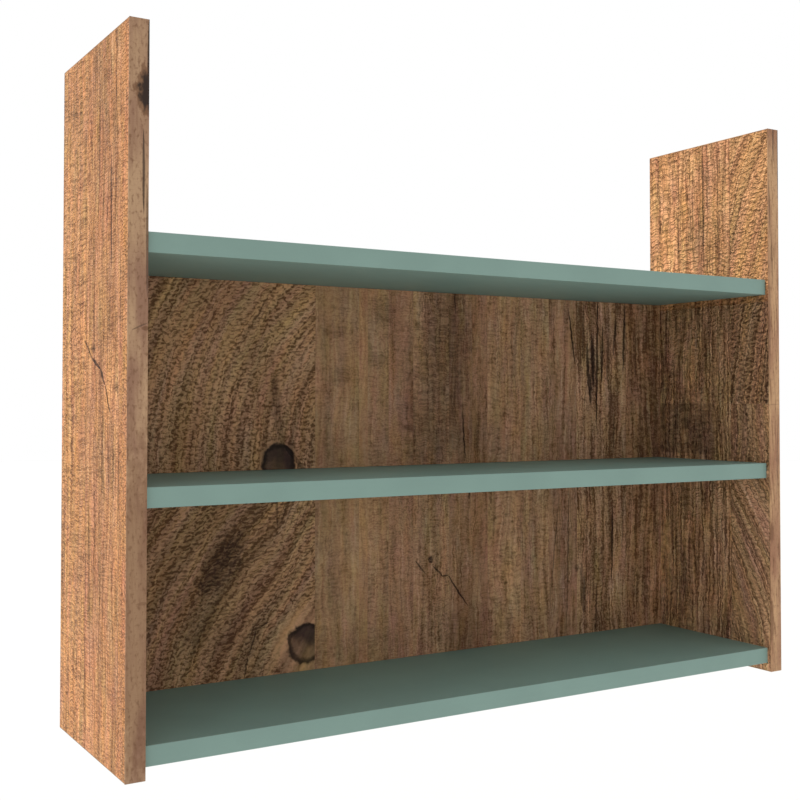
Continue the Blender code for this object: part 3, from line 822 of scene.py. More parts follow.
LEFT_BAND = BandFace(
    pale=shade(180, 145, 112),
    deep=shade(146, 110, 88),
    streaks=0.25,
    pores=0.9,
    cracks=(
        Crack((-387, 556), (-386.5, 480), 2.2, 0.8),
        Crack((-383.5, 510), (-383, 410), 2.4, 0.6),
        # a dark line drawn as a crack along the band's inner edge, from its top down to the knot: painted
        # shade on that edge
        Crack((-382.5, 652), (-382.5, 575), 2.6),
        Crack((-382, 389), (-397, 382), 1.4, 0.5),
    ),
    stains=(
        Stain((-381, 588), (14, 23), 1.0),
        Stain((-384, 384), (4, 2), 0.5),
        Stain((-386, 150), (5, 2), 0.4),
        Stain((-391, 140), (30, 190), 0.28),
    ),
    seed=71.0,
)

RIGHT_BAND = BandFace(
    pale=shade(194, 153, 113),
    deep=shade(160, 116, 88),
    streaks=0.9,
    pores=0.6,
    cracks=(
        Crack((402, 318.5), (380, 318.0), 1.2, 0.3),
        Crack((385, 470), (383, 330), 1.6, 0.5),
        Crack((391.6, 668), (391.4, 606), 2.2, 0.7),
        Crack((399.2, 690), (399.4, 560), 2.4, 0.7),
        Crack((383.2, 590), (385.5, 520), 2.0, 0.5),
        Crack((387.0, 530), (389.5, 455), 1.8, 0.4),
        Crack((396.5, 300), (394.0, 200), 1.8, 0.4),
    ),
    stains=(
        Stain((385, 164), (5, 13), 0.35),
        Stain((384, 60), (4, 30), 0.4),
    ),
    seed=83.0,
)


def plank_values(across, planks):
    """Everything that a plank says, for the plank at a place, and a number of its own."""
    first = planks[0].start
    span = 2 * (planks[-1].start - first)
    share = (across - first) / span
    tints = []
    inks = []
    forms = []
    for number, plank in enumerate(planks):
        place = (plank.start - first) / span
        sizes = (plank.coarse / COARSE_RANGE, plank.emboss / COARSE_RANGE, plank.bands)
        tints.append((place, (*(part / TINT_RANGE for part in plank.tint), number / len(planks))))
        inks.append((place, (plank.torn, plank.saw, plank.streaks, plank.rings)))
        forms.append((place, (*sizes, plank.column / COLUMN_RANGE)))
    tint, number = steps(share, tints)
    ink, rings = steps(share, inks)
    form, column = steps(share, forms)
    coarse, emboss, bands = split(form, "ShaderNodeSeparateColor")
    return (
        tint, ink, bands, rings, coarse * COARSE_RANGE, emboss * COARSE_RANGE, column * COLUMN_RANGE,
        number * SEED_RANGE)


def zone_values(along, zones):
    """Tone, which paints shade colour in the bays, and ink of the zone at a height, each as a share of the
    range of tints.
    """
    share = along / FACE_HEIGHT
    tones = []
    inks = []
    for zone in zones:
        place = zone.start / FACE_HEIGHT
        tones.append((place, (*(part / TINT_RANGE for part in zone.tone), 1.0)))
        inks.append((place, (*(part / TINT_RANGE for part in zone.ink), 1.0)))
    return steps(share, tones)[0], steps(share, inks)[0]


def doubled(colour):
    """A colour that was stored as a share of the range of tints, at its full value."""
    return tinted((TINT_RANGE, TINT_RANGE, TINT_RANGE), colour)


def grain(across, along, centres, rings, seed):
    """Where a place lies across the grain and along it, in mm."""
    wander = sway(across, along, WANDER, seed) + sway(across, along, CRINKLE, seed)
    flow = across + wander
    run = along
    for height, (centre_across, centre_along) in centres.items():
        aside = across - centre_across
        above = along - centre_along
        reach = maths("SQRT", aside * aside + above * above) * -1.0
        turn = maths("ARCTAN2", above, aside * -1.0) * RING_REACH
        here = maths("GREATER_THAN", along, height) * rings
        flow = flow + (reach + wander - flow) * here
        run = run + (turn - run) * here
    return flow, run


def hue_drift(across, along, seed):
    """A tint whose red, green and blue drift a little, each on its own."""
    colours = noise(across, along, HUES, seed, output="Color")
    inputs = {0: colours, 1: HUE_SWING, 2: tuple(1.0 - part / 2 for part in HUE_SWING)}
    return connect(across.tree, "ShaderNodeVectorMath", inputs, operation="MULTIPLY_ADD")


def crack_lines(across, along, cracks, wobbling, seed):
    """How dark the cracks are, which wobble with a pattern."""
    wobble = sway(across, along, wobbling, seed)
    fibres = spotted(across, along, CRACK_FIBRES, seed)
    lines = across * 0.0
    for crack in cracks:
        rightwards = crack.top[0] - crack.foot[0]
        upwards = crack.top[1] - crack.foot[1]
        length = math.hypot(rightwards, upwards)
        aside = across - crack.foot[0]
        above = along - crack.foot[1]
        share = (aside * rightwards + above * upwards) / length**2
        away = maths("ABSOLUTE", (aside * upwards - above * rightwards) / length + wobble)
        taper = maths("SQRT", maths("MAXIMUM", share * (share * -1.0 + 1.0), 0.0))
        inside = ease(taper * (crack.width + CRACK_EDGE) - away, 0.0, CRACK_EDGE)
        apart = min(MOST_APART, crack.width / FULL_FIBRE)
        lines = maths("MAXIMUM", lines, inside * (fibres * (-apart * crack.depth) + crack.depth))
    return lines


def knot_rings(across, along, knots, seed):
    """How dark the knots' rims and hearts are, and how calm the wood round them is."""
    uneven = sway(across, along, KNOT_OUTLINE, seed)
    rims = hearts = calms = across * 0.0
    for knot in knots:
        aside = (across - knot.centre[0]) / knot.radius
        above = (along - knot.centre[1]) / (knot.radius * knot.tall)
        reach = maths("SQRT", aside * aside + above * above) + uneven
        shaded = ease(above + aside * HEART_LEAN + uneven * HEART_BREAK, *HEART_FADE)
        heart = ease(reach, *HEART_EDGE) * between(shaded, knot.palest, 1.0)
        rims = maths("MAXIMUM", rims, ease(reach, *RIM_OUTSIDE) * ease(reach, *RIM_INSIDE))
        hearts = maths("MAXIMUM", hearts, heart)
        calms = maths("MAXIMUM", calms, ease(reach, knot.calm, HEART_EDGE[0]))
    return rims, hearts, calms


def soft_stains(across, along, stains, seed):
    """Depth of the soft dark patches."""
    broken = sway(across, along, STAIN_OUTLINE, seed)
    depths = across * 0.0
    for stain in stains:
        above = along - stain.centre[1]
        aside = (across - stain.centre[0] - above * stain.lean) / stain.spread[0]
        above = above / stain.spread[1]
        if stain.square:
            reach = maths("MAXIMUM", maths("ABSOLUTE", aside), maths("ABSOLUTE", above))
            depth = ease(reach, *SQUARE_EDGE)
        else:
            reach = maths("SQRT", aside * aside + above * above) + broken
            depth = ease(reach, *STAIN_EDGE)
        depths = maths("MAXIMUM", depths, depth * stain.depth)
    return depths


def saw_ripples(flow, run, level, column, seed):
    """Ripples that a saw leaves in columns along the grain, and the furrows between the columns."""
    columns = (flow + sway(flow, run, COLUMN_SHIFT, seed)) / column
    number = maths("FLOOR", columns)
    inside = columns - number - 0.5
    arch = inside * inside * column * COLUMN_ARCH
    apart = number * COLUMN_STEP
    ripples = noise(apart + inside * COLUMN_SPREAD, level + arch, RIPPLES, seed)
    furrows = ease(maths("ABSOLUTE", inside), *FURROW_EDGE) * spotted(apart, run, FURROWS, seed)
    return ripples, furrows


def pine_material(name, across_axis, face, finish):
    """Rough-sawn pine planks, printed and embossed."""
    material, tree = new_material(name)
    x, y, along = place_in_mm(tree)
    across = x if across_axis == "x" else y
    tint, ink_shares, band_ink, rings, coarse, emboss, column, number = plank_values(across, face.planks)
    tone, zone_ink = zone_values(along, face.zones)
    ink_shares = doubled(tinted(ink_shares, zone_ink))
    seed = number + face.seed
    if face.knots:
        rims, hearts, calms = knot_rings(across, along, face.knots, seed)
        ink_shares = blend(calms * rings * CALM_SHARE, ink_shares, NO_INK)
    torn_ink, saw_ink, streak_ink = split(ink_shares, "ShaderNodeSeparateColor")
    flow, run = grain(across, along, face.ring_centres, rings, seed)

    level = (along + sway(across, along, WAVER, seed)) / coarse
    tears = noise(flow / coarse, level, TEARS, seed + 1.0)
    ripples, furrows = saw_ripples(flow, run, level, column, seed)
    strands = noise(flow, run, STRANDS, seed)
    patches = noise(across, along, PATCHES, seed)
    torn = marks(tears + (strands - 0.5) * STRANDS.swing, TEARS) * torn_ink
    sawn = marks(ripples, RIPPLES) * saw_ink
    lines = maths("MAXIMUM", marks(strands, STRANDS), furrows * FURROWS.ink) * streak_ink
    bands = spotted(flow, run, LATE_WOOD, seed) * band_ink
    mottle = spotted(across, along, MOTTLE, seed)
    cracks = crack_lines(across, along, face.cracks, CRACK_WOBBLE, seed)

    colour = tinted(finish.light, blend(marks(patches, PATCHES), DEEP_PATCH, PALE_PATCH))
    # pale strands on the raised ridges: the grain's own colour and a painted highlight of the relief
    colour = blend(ease(strands, *PALE_STRANDS_AND_RIDGE_HIGHLIGHTS) * streak_ink * PALE_STRAND_AND_HIGHLIGHT_SHARE, colour, finish.pale)
    colour = doubled(tinted(tint, colour))
    ink = bands + torn * TEARS.ink + sawn * RIPPLES.ink + lines * STRANDS.ink + mottle * MOTTLE.ink
    colour = blend(maths("MINIMUM", ink, 1.0), colour, finish.brown)
    if face.stains:
        stains = soft_stains(across, along, face.stains, seed)
        colour = blend(stains * between(ease(ripples, *STAIN_RIPPLES), *STAIN_INK), colour, finish.stain)
    if face.knots:
        colour = blend(hearts * rings * HEART_INK, colour, finish.heart)
        colour = blend(rims * rings * RIM_INK, colour, finish.crack)
    colour = blend(cracks * CRACK_INK, colour, finish.crack)
    # the zone's tone paints the cooler, less saturated colour of shade in the bays; the hue drift is the
    # print's own
    colour = tinted(doubled(tinted(tone, colour)), hue_drift(flow, run, seed + 2.0))

    cut = tears * torn_ink * -TEARS.depth - ripples * saw_ink * RIPPLES.depth - lines * STRANDS.depth
    height = cut * emboss - cracks * CRACK_DEPTH
    roughness = between(patches, *PINE_ROUGHNESS)
    return surface(material, colour, roughness, height, finish.relief, shine=PINE_SHINE)


def pine_band_material(name, face, finish):
    """Smooth pine edge band with its grain along its length."""
    material, tree = new_material(name)
    across, y, height = place_in_mm(tree)
    along = height + y
    patches = spotted(across, along, BAND_PATCHES, face.seed)
    streaks = spotted(across + along * BAND_SLANT, along, BAND_STREAKS, face.seed)
    hairs = spotted(across, along, BAND_HAIRS, face.seed)
    pores = spotted(across, along, BAND_PORES, face.seed + 1.0)
    stains = soft_stains(across, along, face.stains, face.seed)
    cracks = crack_lines(across, along, face.cracks, BAND_WOBBLE, face.seed)
    colour = blend(patches, face.deep, face.pale)
    ink = streaks * face.streaks * BAND_STREAKS.ink + pores * face.pores * BAND_PORES.ink
    colour = blend(maths("MINIMUM", ink + hairs * BAND_HAIRS.ink, 1.0), colour, finish.brown)
    colour = blend(ease(stains, *BAND_STAIN) * BAND_STAIN_INK, colour, finish.brown)
    # the cracks include a line of painted shade along the left band's inner edge
    colour = blend(maths("MAXIMUM", ease(stains, *BAND_KNOT), cracks), colour, finish.crack)
    relief = streaks * -BAND_STREAKS.depth - pores - cracks
    roughness = between(streaks, *BAND_ROUGHNESS)
    return surface(material, colour, roughness, relief, finish.band_relief, shine=BAND_SHINE)


def chipboard_material(name, finish):
    """The bare core of a board: pressed chips of mixed sizes."""
    material, tree = new_material(name)
    texture = object_place(tree)
    inputs = {"Vector": texture, "Scale": CHIPS_PER_METRE}
    chips = connect(tree, "ShaderNodeTexVoronoi", inputs, output="Color")
    tone, _, _ = split(chips, "ShaderNodeSeparateColor")
    dust = grit(texture, DUST_PER_METRE, 3.0)
    mixed = tone * CHIP_SHARE + dust * (1.0 - CHIP_SHARE)
    colour = blend(mixed, times(finish.chips, DARK_CHIPS), finish.chips)
    roughness = between(dust, *CHIP_ROUGHNESS)
    return surface(material, colour, roughness, tone + dust, CHIP_RELIEF, shine=WOOD_SHINE)


def sage_material(name, finish, roughness):
    """Plain sage print with a fine pearl emboss."""
    material, tree = new_material(name)
    texture = object_place(tree)
    pearl = grit(texture, PEARLS_PER_METRE, 2.0)
    cloud = grit(texture, CLOUDS_PER_METRE, 3.0)
    shaded = ease(cloud + (pearl - 0.5) * PEARL_SHARE, *CLOUD_FADE)
    colour = blend(shaded, *(times(finish.colour, share) for share in SAGE_SHADES))
    gloss = between(pearl, roughness - SAGE_SPREAD, roughness + SAGE_SPREAD)
    return surface(material, colour, gloss, pearl, finish.relief, shine=SAGE_SHINE)


def metal_material(name, colour, roughness, spots_per_metre, relief):
    """Bare or plated metal with a fine mottle."""
    material, tree = new_material(name)
    texture = object_place(tree)
    mottle = grit(texture, spots_per_metre, 4.0)
    cloud = grit(texture, spots_per_metre / METAL_CLOUD, 2.0)
    bright = ease(mottle * 0.5 + cloud * 0.5, *METAL_FADE)
    mixed = blend(bright, times(colour, DULL_METAL), colour)
    gloss = between(cloud, roughness - METAL_SPREAD, roughness + METAL_SPREAD)
    return surface(material, mixed, gloss, mottle, relief, metallic=1.0)


def beech_material(name, lying, colour):
    """Beech with short flecks along a dowel that lies along X or stands along Z."""
    material, tree = new_material(name)
    x, y, z = place_in_mm(tree)
    along = x if lying else z
    across = z if lying else x
    flecks = spotted(across + y, along, BEECH_FLECKS, 4.0)
    bands = noise(across - y, along, BEECH_BANDS, 8.0)
    ink = flecks * BEECH_FLECKS.ink + marks(bands, BEECH_BANDS) * BEECH_BANDS.ink
    mixed = blend(ink, colour, times(colour, DARK_BEECH))
    roughness = between(bands, *BEECH_ROUGHNESS)
    return surface(material, mixed, roughness, flecks * -1.0, BEECH_RELIEF, shine=WOOD_SHINE)


def merge(shape):
    """Join points that lie in one place."""
    bmesh.ops.remove_doubles(shape, verts=shape.verts, dist=MERGE_DISTANCE)


def turned(profile, segments):
    """Turn (radius, height) points, listed from one end on the axis to the other, about Z."""
    shape = bmesh.new()
    points = [shape.verts.new((radius, 0.0, height)) for radius, height in profile]
    edges = [shape.edges.new(pair) for pair in zip(points, points[1:])]
    bmesh.ops.spin(
        shape, geom=points + edges, cent=(0, 0, 0), axis=(0, 0, 1),
        angle=math.tau, steps=segments, use_merge=True)
    merge(shape)
    bmesh.ops.recalc_face_normals(shape, faces=shape.faces)
    return shape


def raised(grown):
    """The points that an extrusion has made."""
    return [part for part in grown["geom"] if isinstance(part, bmesh.types.BMVert)]


def prism(flat, bottom, top):
    """Give a flat shape at Z = 0 a bottom and a top."""
    grown = bmesh.ops.extrude_face_region(flat, geom=list(flat.faces))
    bmesh.ops.translate(flat, verts=raised(grown), vec=(0.0, 0.0, top - bottom))
    bmesh.ops.translate(flat, verts=flat.verts, vec=(0.0, 0.0, bottom))
    bmesh.ops.recalc_face_normals(flat, faces=flat.faces)
    return flat


def disc(radius, segments, turn=0.0):
    """Flat disc at Z = 0."""
    shape = bmesh.new()
    matrix = Matrix.Rotation(turn, 4, "Z")
    bmesh.ops.create_circle(shape, cap_ends=True, radius=radius, segments=segments, matrix=matrix)
    return shape


def stadium(width, low, high, segments):
    """Flat slot of a given width whose round ends are centred at two places along Y."""
    shape = disc(width / 2, segments, math.pi / segments)
    for vert in shape.verts:
        vert.co.y += high if vert.co.y > 0.0 else low
    return shape


def sector(radius, start, end, segments):
    """Flat slice of a disc between two angles."""
    shape = bmesh.new()
    rim = Matrix.Rotation(start, 3, "Z") @ Vector((radius, 0.0, 0.0))
    edge = shape.edges.new([shape.verts.new((0.0, 0.0, 0.0)), shape.verts.new(rim)])
    bmesh.ops.spin(
        shape, geom=[*edge.verts, edge], cent=(0, 0, 0), axis=(0, 0, 1), angle=end - start, steps=segments)
    merge(shape)
    return shape


def rod(diameter, start, end, segments):
    """Closed round bar between two points."""
    start, end = Vector(start), Vector(end)
    turn = (end - start).to_track_quat("Z", "Y").to_matrix().to_4x4()
    matrix = Matrix.Translation((start + end) / 2) @ turn
    shape = bmesh.new()
    bmesh.ops.create_cone(
        shape, cap_ends=True, segments=segments, radius1=diameter / 2, radius2=diameter / 2,
        depth=(end - start).length, matrix=matrix)
    return shape


def block(low, high):
    """Box between two corners."""
    shape = bmesh.new()
    matrix = Matrix.Translation((low + high) / 2) @ Matrix.Diagonal(high - low).to_4x4()
    bmesh.ops.create_cube(shape, size=1.0, matrix=matrix)
    return shape


def cross_arms(length, width, depth, face=0.0):
    """The two bars that cut a driver cross into a face that looks up, each narrower at its foot."""
    arms = []
    for turn in (0.0, math.pi / 2):
        arm = block(Vector((-length, -width, -depth * 2)) / 2, Vector((length, width, REACH * 2)) / 2)
        foot = [vert for vert in arm.verts if vert.co.z < 0.0]
        bmesh.ops.scale(arm, vec=(CROSS_FOOT, CROSS_FOOT, 1.0), verts=foot)
        matrix = Matrix.Translation((0.0, 0.0, face)) @ Matrix.Rotation(turn, 4, "Z")
        bmesh.ops.transform(arm, matrix=matrix, verts=arm.verts)
        arms.append(arm)
    return arms


def threaded(core, crest, pitch, low, high, tip, tip_share, segments):
    """Threaded bar along Z that narrows to a share of its width over the length of its tip."""
    shape = bmesh.new()
    turns = math.ceil((high - low) / pitch) + 2
    points = []
    for outwards, share in THREAD_TOOTH:
        radius = core + (crest - core) * outwards
        points.append(shape.verts.new((radius, 0.0, low + pitch * (share - THREAD_LEAD))))
    edges = [shape.edges.new(pair) for pair in zip(points, points[1:])]
    bmesh.ops.spin(
        shape, geom=points + edges, cent=(0, 0, 0), axis=(0, 0, 1), dvec=(0, 0, pitch / segments),
        angle=math.tau * turns, steps=segments * turns)
    merge(shape)
    for end, facing in ((low, -1.0), (high, 1.0)):
        everything = [*shape.verts, *shape.edges, *shape.faces]
        bmesh.ops.bisect_plane(
            shape, geom=everything, plane_co=(0, 0, end), plane_no=(0, 0, facing), clear_outer=True)
    bmesh.ops.holes_fill(shape, edges=shape.edges)
    for vert in shape.verts:
        share = min(1.0, (vert.co.z - low) / tip)
        narrow = tip_share + (1.0 - tip_share) * share
        vert.co.x *= narrow
        vert.co.y *= narrow
    bmesh.ops.recalc_face_normals(shape, faces=shape.faces)
    return shape


def scratch_object(shape):
    """Use a shape up as an object that is soon removed."""
    mesh = bpy.data.meshes.new("scratch")
    shape.to_mesh(mesh)
    shape.free()
    item = bpy.data.objects.new("scratch", mesh)
    bpy.context.scene.collection.objects.link(item)
    return item


def carve(shape, *tools, operation="DIFFERENCE"):
    """Cut the tools' volumes out of a shape, or join them on. All of them are used up."""
    for tool in tools:
        whole = scratch_object(shape)
        cutter = scratch_object(tool)
        step = whole.modifiers.new("carve", "BOOLEAN")
        step.operation = operation
        step.solver = "EXACT"
        step.object = cutter
        bpy.context.view_layer.update()
        done = whole.evaluated_get(bpy.context.evaluated_depsgraph_get())
        shape = bmesh.new()
        shape.from_mesh(done.to_mesh())
        done.to_mesh_clear()
        for item in (whole, cutter):
            mesh = item.data
            bpy.data.objects.remove(item)
            bpy.data.meshes.remove(mesh)
    merge(shape)
    return shape


def moved(shape, matrix):
    """A copy of a shape in another place."""
    copy = shape.copy()
    bmesh.ops.transform(copy, matrix=matrix, verts=copy.verts)
    return copy


def add_piece(node, shape, materials):
    """Use a finished shape up as the piece that stands for a node and rides on its body."""
    mesh = bpy.data.meshes.new(f"{node}_finished")
    shape.to_mesh(mesh)
    shape.free()
    copied_normals = mesh.attributes.get("custom_normal")
    if copied_normals:
        mesh.attributes.remove(copied_normals)
    mesh.shade_smooth()
    mesh.set_sharp_from_angle(angle=SMOOTH_ANGLE)
    for material in materials:
        mesh.materials.append(material)
    piece = bpy.data.objects.new(mesh.name, mesh)
    bpy.context.scene.collection.objects.link(piece)
    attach(piece, frame["nodes"][node]["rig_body"])
    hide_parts(node)
    return piece


def board_shape(node):
    """A copy of a board, merged."""
    shape = bmesh.new()
    shape.from_mesh(frame["nodes"][node].data)
    merge(shape)
    return shape


def add_board(node, shape, faces, core):
    """A board whose faces have their own materials, given by axis and sign, and whose rest is bare."""
    low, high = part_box(node)
    for face in shape.faces:
        face.material_index = 0
        for number, (axis, sign) in enumerate(faces, start=1):
            outermost = high[axis] if sign > 0 else low[axis]
            at_surface = abs(face.calc_center_median()[axis] - outermost) < MERGE_DISTANCE
            if face.normal[axis] * sign > FACING and at_surface:
                face.material_index = number
    return add_piece(node, shape, (core, *faces.values()))


def band_shape(node, axis, sign, rounding):
    """An edge band that faces one way, with its two long outer edges rounded."""
    low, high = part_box(node)
    outermost = high[axis] if sign > 0 else low[axis]
    size = high - low
    length_axis = max(range(3), key=lambda number: size[number])
    shape = block(low, high)
    long_edges = []
    for edge in shape.edges:
        start, end = (vert.co for vert in edge.verts)
        lengthwise = abs(end[length_axis] - start[length_axis]) > MERGE_DISTANCE
        outside = all(abs(point[axis] - outermost) < MERGE_DISTANCE for point in (start, end))
        if lengthwise and outside:
            long_edges.append(edge)
    bmesh.ops.bevel(
        shape, geom=long_edges, offset=rounding, segments=BAND_SEGMENTS,
        profile=0.5, affect="EDGES", material=-1)
    return shape


def middle_of(node):
    """Centre of a node's box."""
    low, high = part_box(node)
    return (low + high) / 2


def size_of(node):
    """Size of a node's box."""
    low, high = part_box(node)
    return high - low


def cam_nodes():
    """Level, side and row of every cam lock."""
    return [(level, side, row) for level in LEVELS for side in SIDES for row in ROWS]


def cam_centre(level, side, row):
    """Where a cam's axis meets the face of its shelf, and whether that face looks up."""
    node = f"cam_{level}_{side}_{row}"
    low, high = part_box(node)
    middle = middle_of(node)
    up = CAM_FACE_UP[level]
    return Vector((middle.x, middle.y, high.z if up else low.z)), up


def hollow_radius(angle, sizes):
    """Radius of a cam's hollow at an angle from its mouth.

    It clears the bolt's ball over half a turn from the mouth, and draws it in on the way.
    """
    past_lock = math.pi < angle <= 1.5 * math.pi
    nearest = math.pi if past_lock else (angle if angle <= math.pi else math.tau)
    away = angle - nearest
    sideways = sizes.head_offset * math.sin(away)
    ball = sizes.head_offset * math.cos(away) + math.sqrt((sizes.head / 2) ** 2 - sideways**2)
    slack = sizes.draw * (1.0 - (nearest % math.tau) / math.pi) * max(0.0, math.cos(away))
    return ball + sizes.gap + slack


def cam_shape(sizes, diameter, length, bolt_depth):
    """A cam with its face at Z = 0 and its mouth towards +X. It grips with -X towards the side panel."""
    radius = diameter / 2
    edge = sizes.cam_edge
    profile = [
        (0.0, -length), (radius - edge, -length), (radius, edge - length),
        (radius, -edge), (radius - edge, 0.0), (0.0, 0.0),
    ]
    half_height = sizes.head / 2 + sizes.gap
    hollow = disc(1.0, sizes.segments)
    for vert in hollow.verts:
        vert.co *= hollow_radius(math.atan2(vert.co.y, vert.co.x) % math.tau, sizes)
    half_neck = sizes.neck / 2 + sizes.gap
    overrun = SLOT_OVERRUN * math.asin(half_neck / hollow_radius(math.pi, sizes))
    slot = sector(radius + REACH, -overrun, math.pi + overrun, sizes.segments)
    # the mouth is a little narrower than the hollow, so that no two cuts touch along a line
    mouth = rod(
        2 * half_height - sizes.gap / 2, (0.0, 0.0, -bolt_depth), (radius + REACH, 0.0, -bolt_depth),
        sizes.segments)
    arrow = disc(ARROW_RADIUS, 3, -math.pi / 2)
    bmesh.ops.translate(arrow, vec=((sizes.cross / 2 + radius) / 2, 0.0, 0.0), verts=arrow.verts)
    return carve(
        turned(profile, sizes.segments),
        prism(hollow, -bolt_depth - half_height, -bolt_depth + half_height),
        prism(slot, -bolt_depth - half_neck, -bolt_depth + half_neck),
        mouth,
        *cross_arms(sizes.cross, sizes.cross_width, sizes.cross_depth),
        prism(arrow, -ARROW_DEPTH, REACH),
    )


def bolt_shape(sizes, reach):
    """A cam bolt along Z, from its tip in the panel, through the panel's face at Z = 0, to its ball."""
    ball = sizes.head / 2
    centre = reach - sizes.head_offset
    collar = sizes.collar / 2
    collar_top = sizes.gap + sizes.collar_length
    edge = sizes.cam_edge
    neck = sizes.neck / 2
    profile = [
        (0.0, sizes.gap), (collar - edge, sizes.gap), (collar, sizes.gap + edge),
        (collar, collar_top - edge), (collar - edge, collar_top), (neck, collar_top),
    ]
    neck_angle = math.asin(neck / ball)
    for step in range(BALL_STEPS + 1):
        angle = (math.pi - neck_angle) * (1.0 - step / BALL_STEPS)
        profile.append((ball * math.sin(angle), centre + ball * math.cos(angle)))
    crest = sizes.thread / 2
    overlap = sizes.gap + sizes.collar_length / 2
    thread = threaded(
        crest * THREAD_CORE, crest, sizes.thread_pitch, -sizes.thread_length, overlap,
        sizes.thread_pitch, THREAD_CORE, sizes.segments // 2)
    shape = carve(turned(profile, sizes.segments // 2), thread, operation="UNION")
    return carve(shape, *cross_arms(sizes.neck, sizes.cross_width / 2, sizes.cross_width, centre + ball))


def dowel_shape(sizes, diameter, length):
    """A fluted dowel along Z about its middle, with chamfered ends."""
    shape = disc(1.0, sizes.segments)
    for vert in shape.verts:
        angle = math.atan2(vert.co.y, vert.co.x)
        vert.co *= diameter / 2 - sizes.flute * (1.0 - math.cos(FLUTES * angle)) / 2
    edge = sizes.dowel_edge
    narrow = 1.0 - 2 * edge / diameter
    bmesh.ops.scale(shape, vec=(narrow, narrow, 1.0), verts=shape.verts)
    bmesh.ops.translate(shape, vec=(0.0, 0.0, -length / 2), verts=shape.verts)
    foot = list(shape.faces)
    end = foot
    for rise, spread in ((edge, 1.0 / narrow), (length - 2 * edge, 1.0), (edge, narrow)):
        grown = bmesh.ops.extrude_face_region(shape, geom=end)
        bmesh.ops.translate(shape, vec=(0.0, 0.0, rise), verts=raised(grown))
        bmesh.ops.scale(shape, vec=(spread, spread, 1.0), verts=raised(grown))
        if end is not foot:
            bmesh.ops.delete(shape, geom=end, context="FACES_ONLY")
        end = [part for part in grown["geom"] if isinstance(part, bmesh.types.BMFace)]
    bmesh.ops.recalc_face_normals(shape, faces=shape.faces)
    return shape


def wall_turn(x, z):
    """Stand a piece that is drawn flat, face up, against the wall: its up becomes +Y, its Y becomes +Z."""
    return Matrix(((-1, 0, 0, x), (0, 0, 1, 0), (0, 1, 0, z), (0, 0, 0, 1)))


def plate_shape(sizes, width, length, thickness, middle, screws, screw_head):
    """A keyhole plate lying flat, wall side up at Z = 0, its top towards +Y and the hanging point at 0."""
    straight = (length - width) / 2
    outline = stadium(width, middle - straight, middle + straight, sizes.segments)
    through = -thickness - REACH
    entry = -sizes.keyhole_travel
    tools = [
        prism(stadium(sizes.keyhole_slot, entry, 0.0, sizes.segments), through, REACH),
        rod(sizes.keyhole, (0, entry, through), (0, entry, REACH), sizes.segments),
    ]
    hole = sizes.screw / 2 + sizes.gap
    sink = screw_head / 2 + sizes.gap + REACH
    profile = [(0.0, through), (hole, through), (hole, REACH - sink + hole), (sink, REACH), (0.0, REACH)]
    for place in screws:
        countersink = turned(profile, sizes.segments)
        bmesh.ops.translate(countersink, vec=(0.0, place, 0.0), verts=countersink.verts)
        tools.append(countersink)
    shape = carve(prism(outline, -thickness, 0.0), *tools)
    rims = []
    for edge in shape.edges:
        facing = sorted(abs(face.normal.z) for face in edge.link_faces)
        if all(vert.co.z > -MERGE_DISTANCE for vert in edge.verts) and facing[0] < 1.0 - FACING:
            rims.append(edge)
    bmesh.ops.bevel(
        shape, geom=rims, offset=sizes.plate_edge, segments=PLATE_SEGMENTS,
        profile=0.5, affect="EDGES", material=-1)
    return shape


def screw_shape(sizes, head_diameter, length):
    """A countersunk screw, head up at Z = 0."""
    crest = sizes.screw / 2
    head = head_diameter / 2
    cone = head - crest
    rim = sizes.cam_edge / 4
    core = crest * THREAD_CORE
    # the head's stub is narrower than the thread's core and ends inside it
    stub = core * STUB_SHARE
    stub_end = -cone - sizes.screw_pitch
    profile = [
        (0.0, stub_end), (stub, stub_end), (stub, -cone - crest + stub),
        (head, -rim), (head, 0.0), (0.0, 0.0),
    ]
    thread = threaded(
        core, crest, sizes.screw_pitch, -length, sizes.gap - cone,
        sizes.screw_tip, SCREW_POINT, sizes.segments // 2)
    shape = carve(turned(profile, sizes.segments), thread, operation="UNION")
    return carve(shape, *cross_arms(head * SCREW_CROSS, crest / 2, crest * SCREW_CROSS_DEPTH))


class WALLSHELF_OT_pine_boards(bpy.types.Operator):
    """Make the side and back boards in printed pine"""

    bl_idname = "wall_shelf.pine_boards"
    bl_label = "Pine Boards"

    def execute(self, context):
        finish = context.scene.shelf_pine
        core = chipboard_material("chipboard", finish)
        front = pine_material("pine_back_front", "x", BACK_FACE, finish)
        rear = pine_material("pine_back_rear", "x", BACK_REAR, finish)
        boards = {
            "side_panel_left": {
                (0, -1): pine_material("pine_left_outer", "y", LEFT_OUTER, finish),
                (0, 1): pine_material("pine_left_inner", "y", LEFT_INNER, finish),
            },
            "side_panel_right": {
                (0, -1): pine_material("pine_right_inner", "y", RIGHT_INNER, finish),
                (0, 1): pine_material("pine_right_outer", "y", RIGHT_OUTER, finish),
            },
            "back_panel_upper": {(1, -1): front, (1, 1): rear},
            "back_panel_lower": {(1, -1): front, (1, 1): rear},
        }
        for node, faces in boards.items():
            add_board(node, board_shape(node), faces, core)
        return {"FINISHED"}


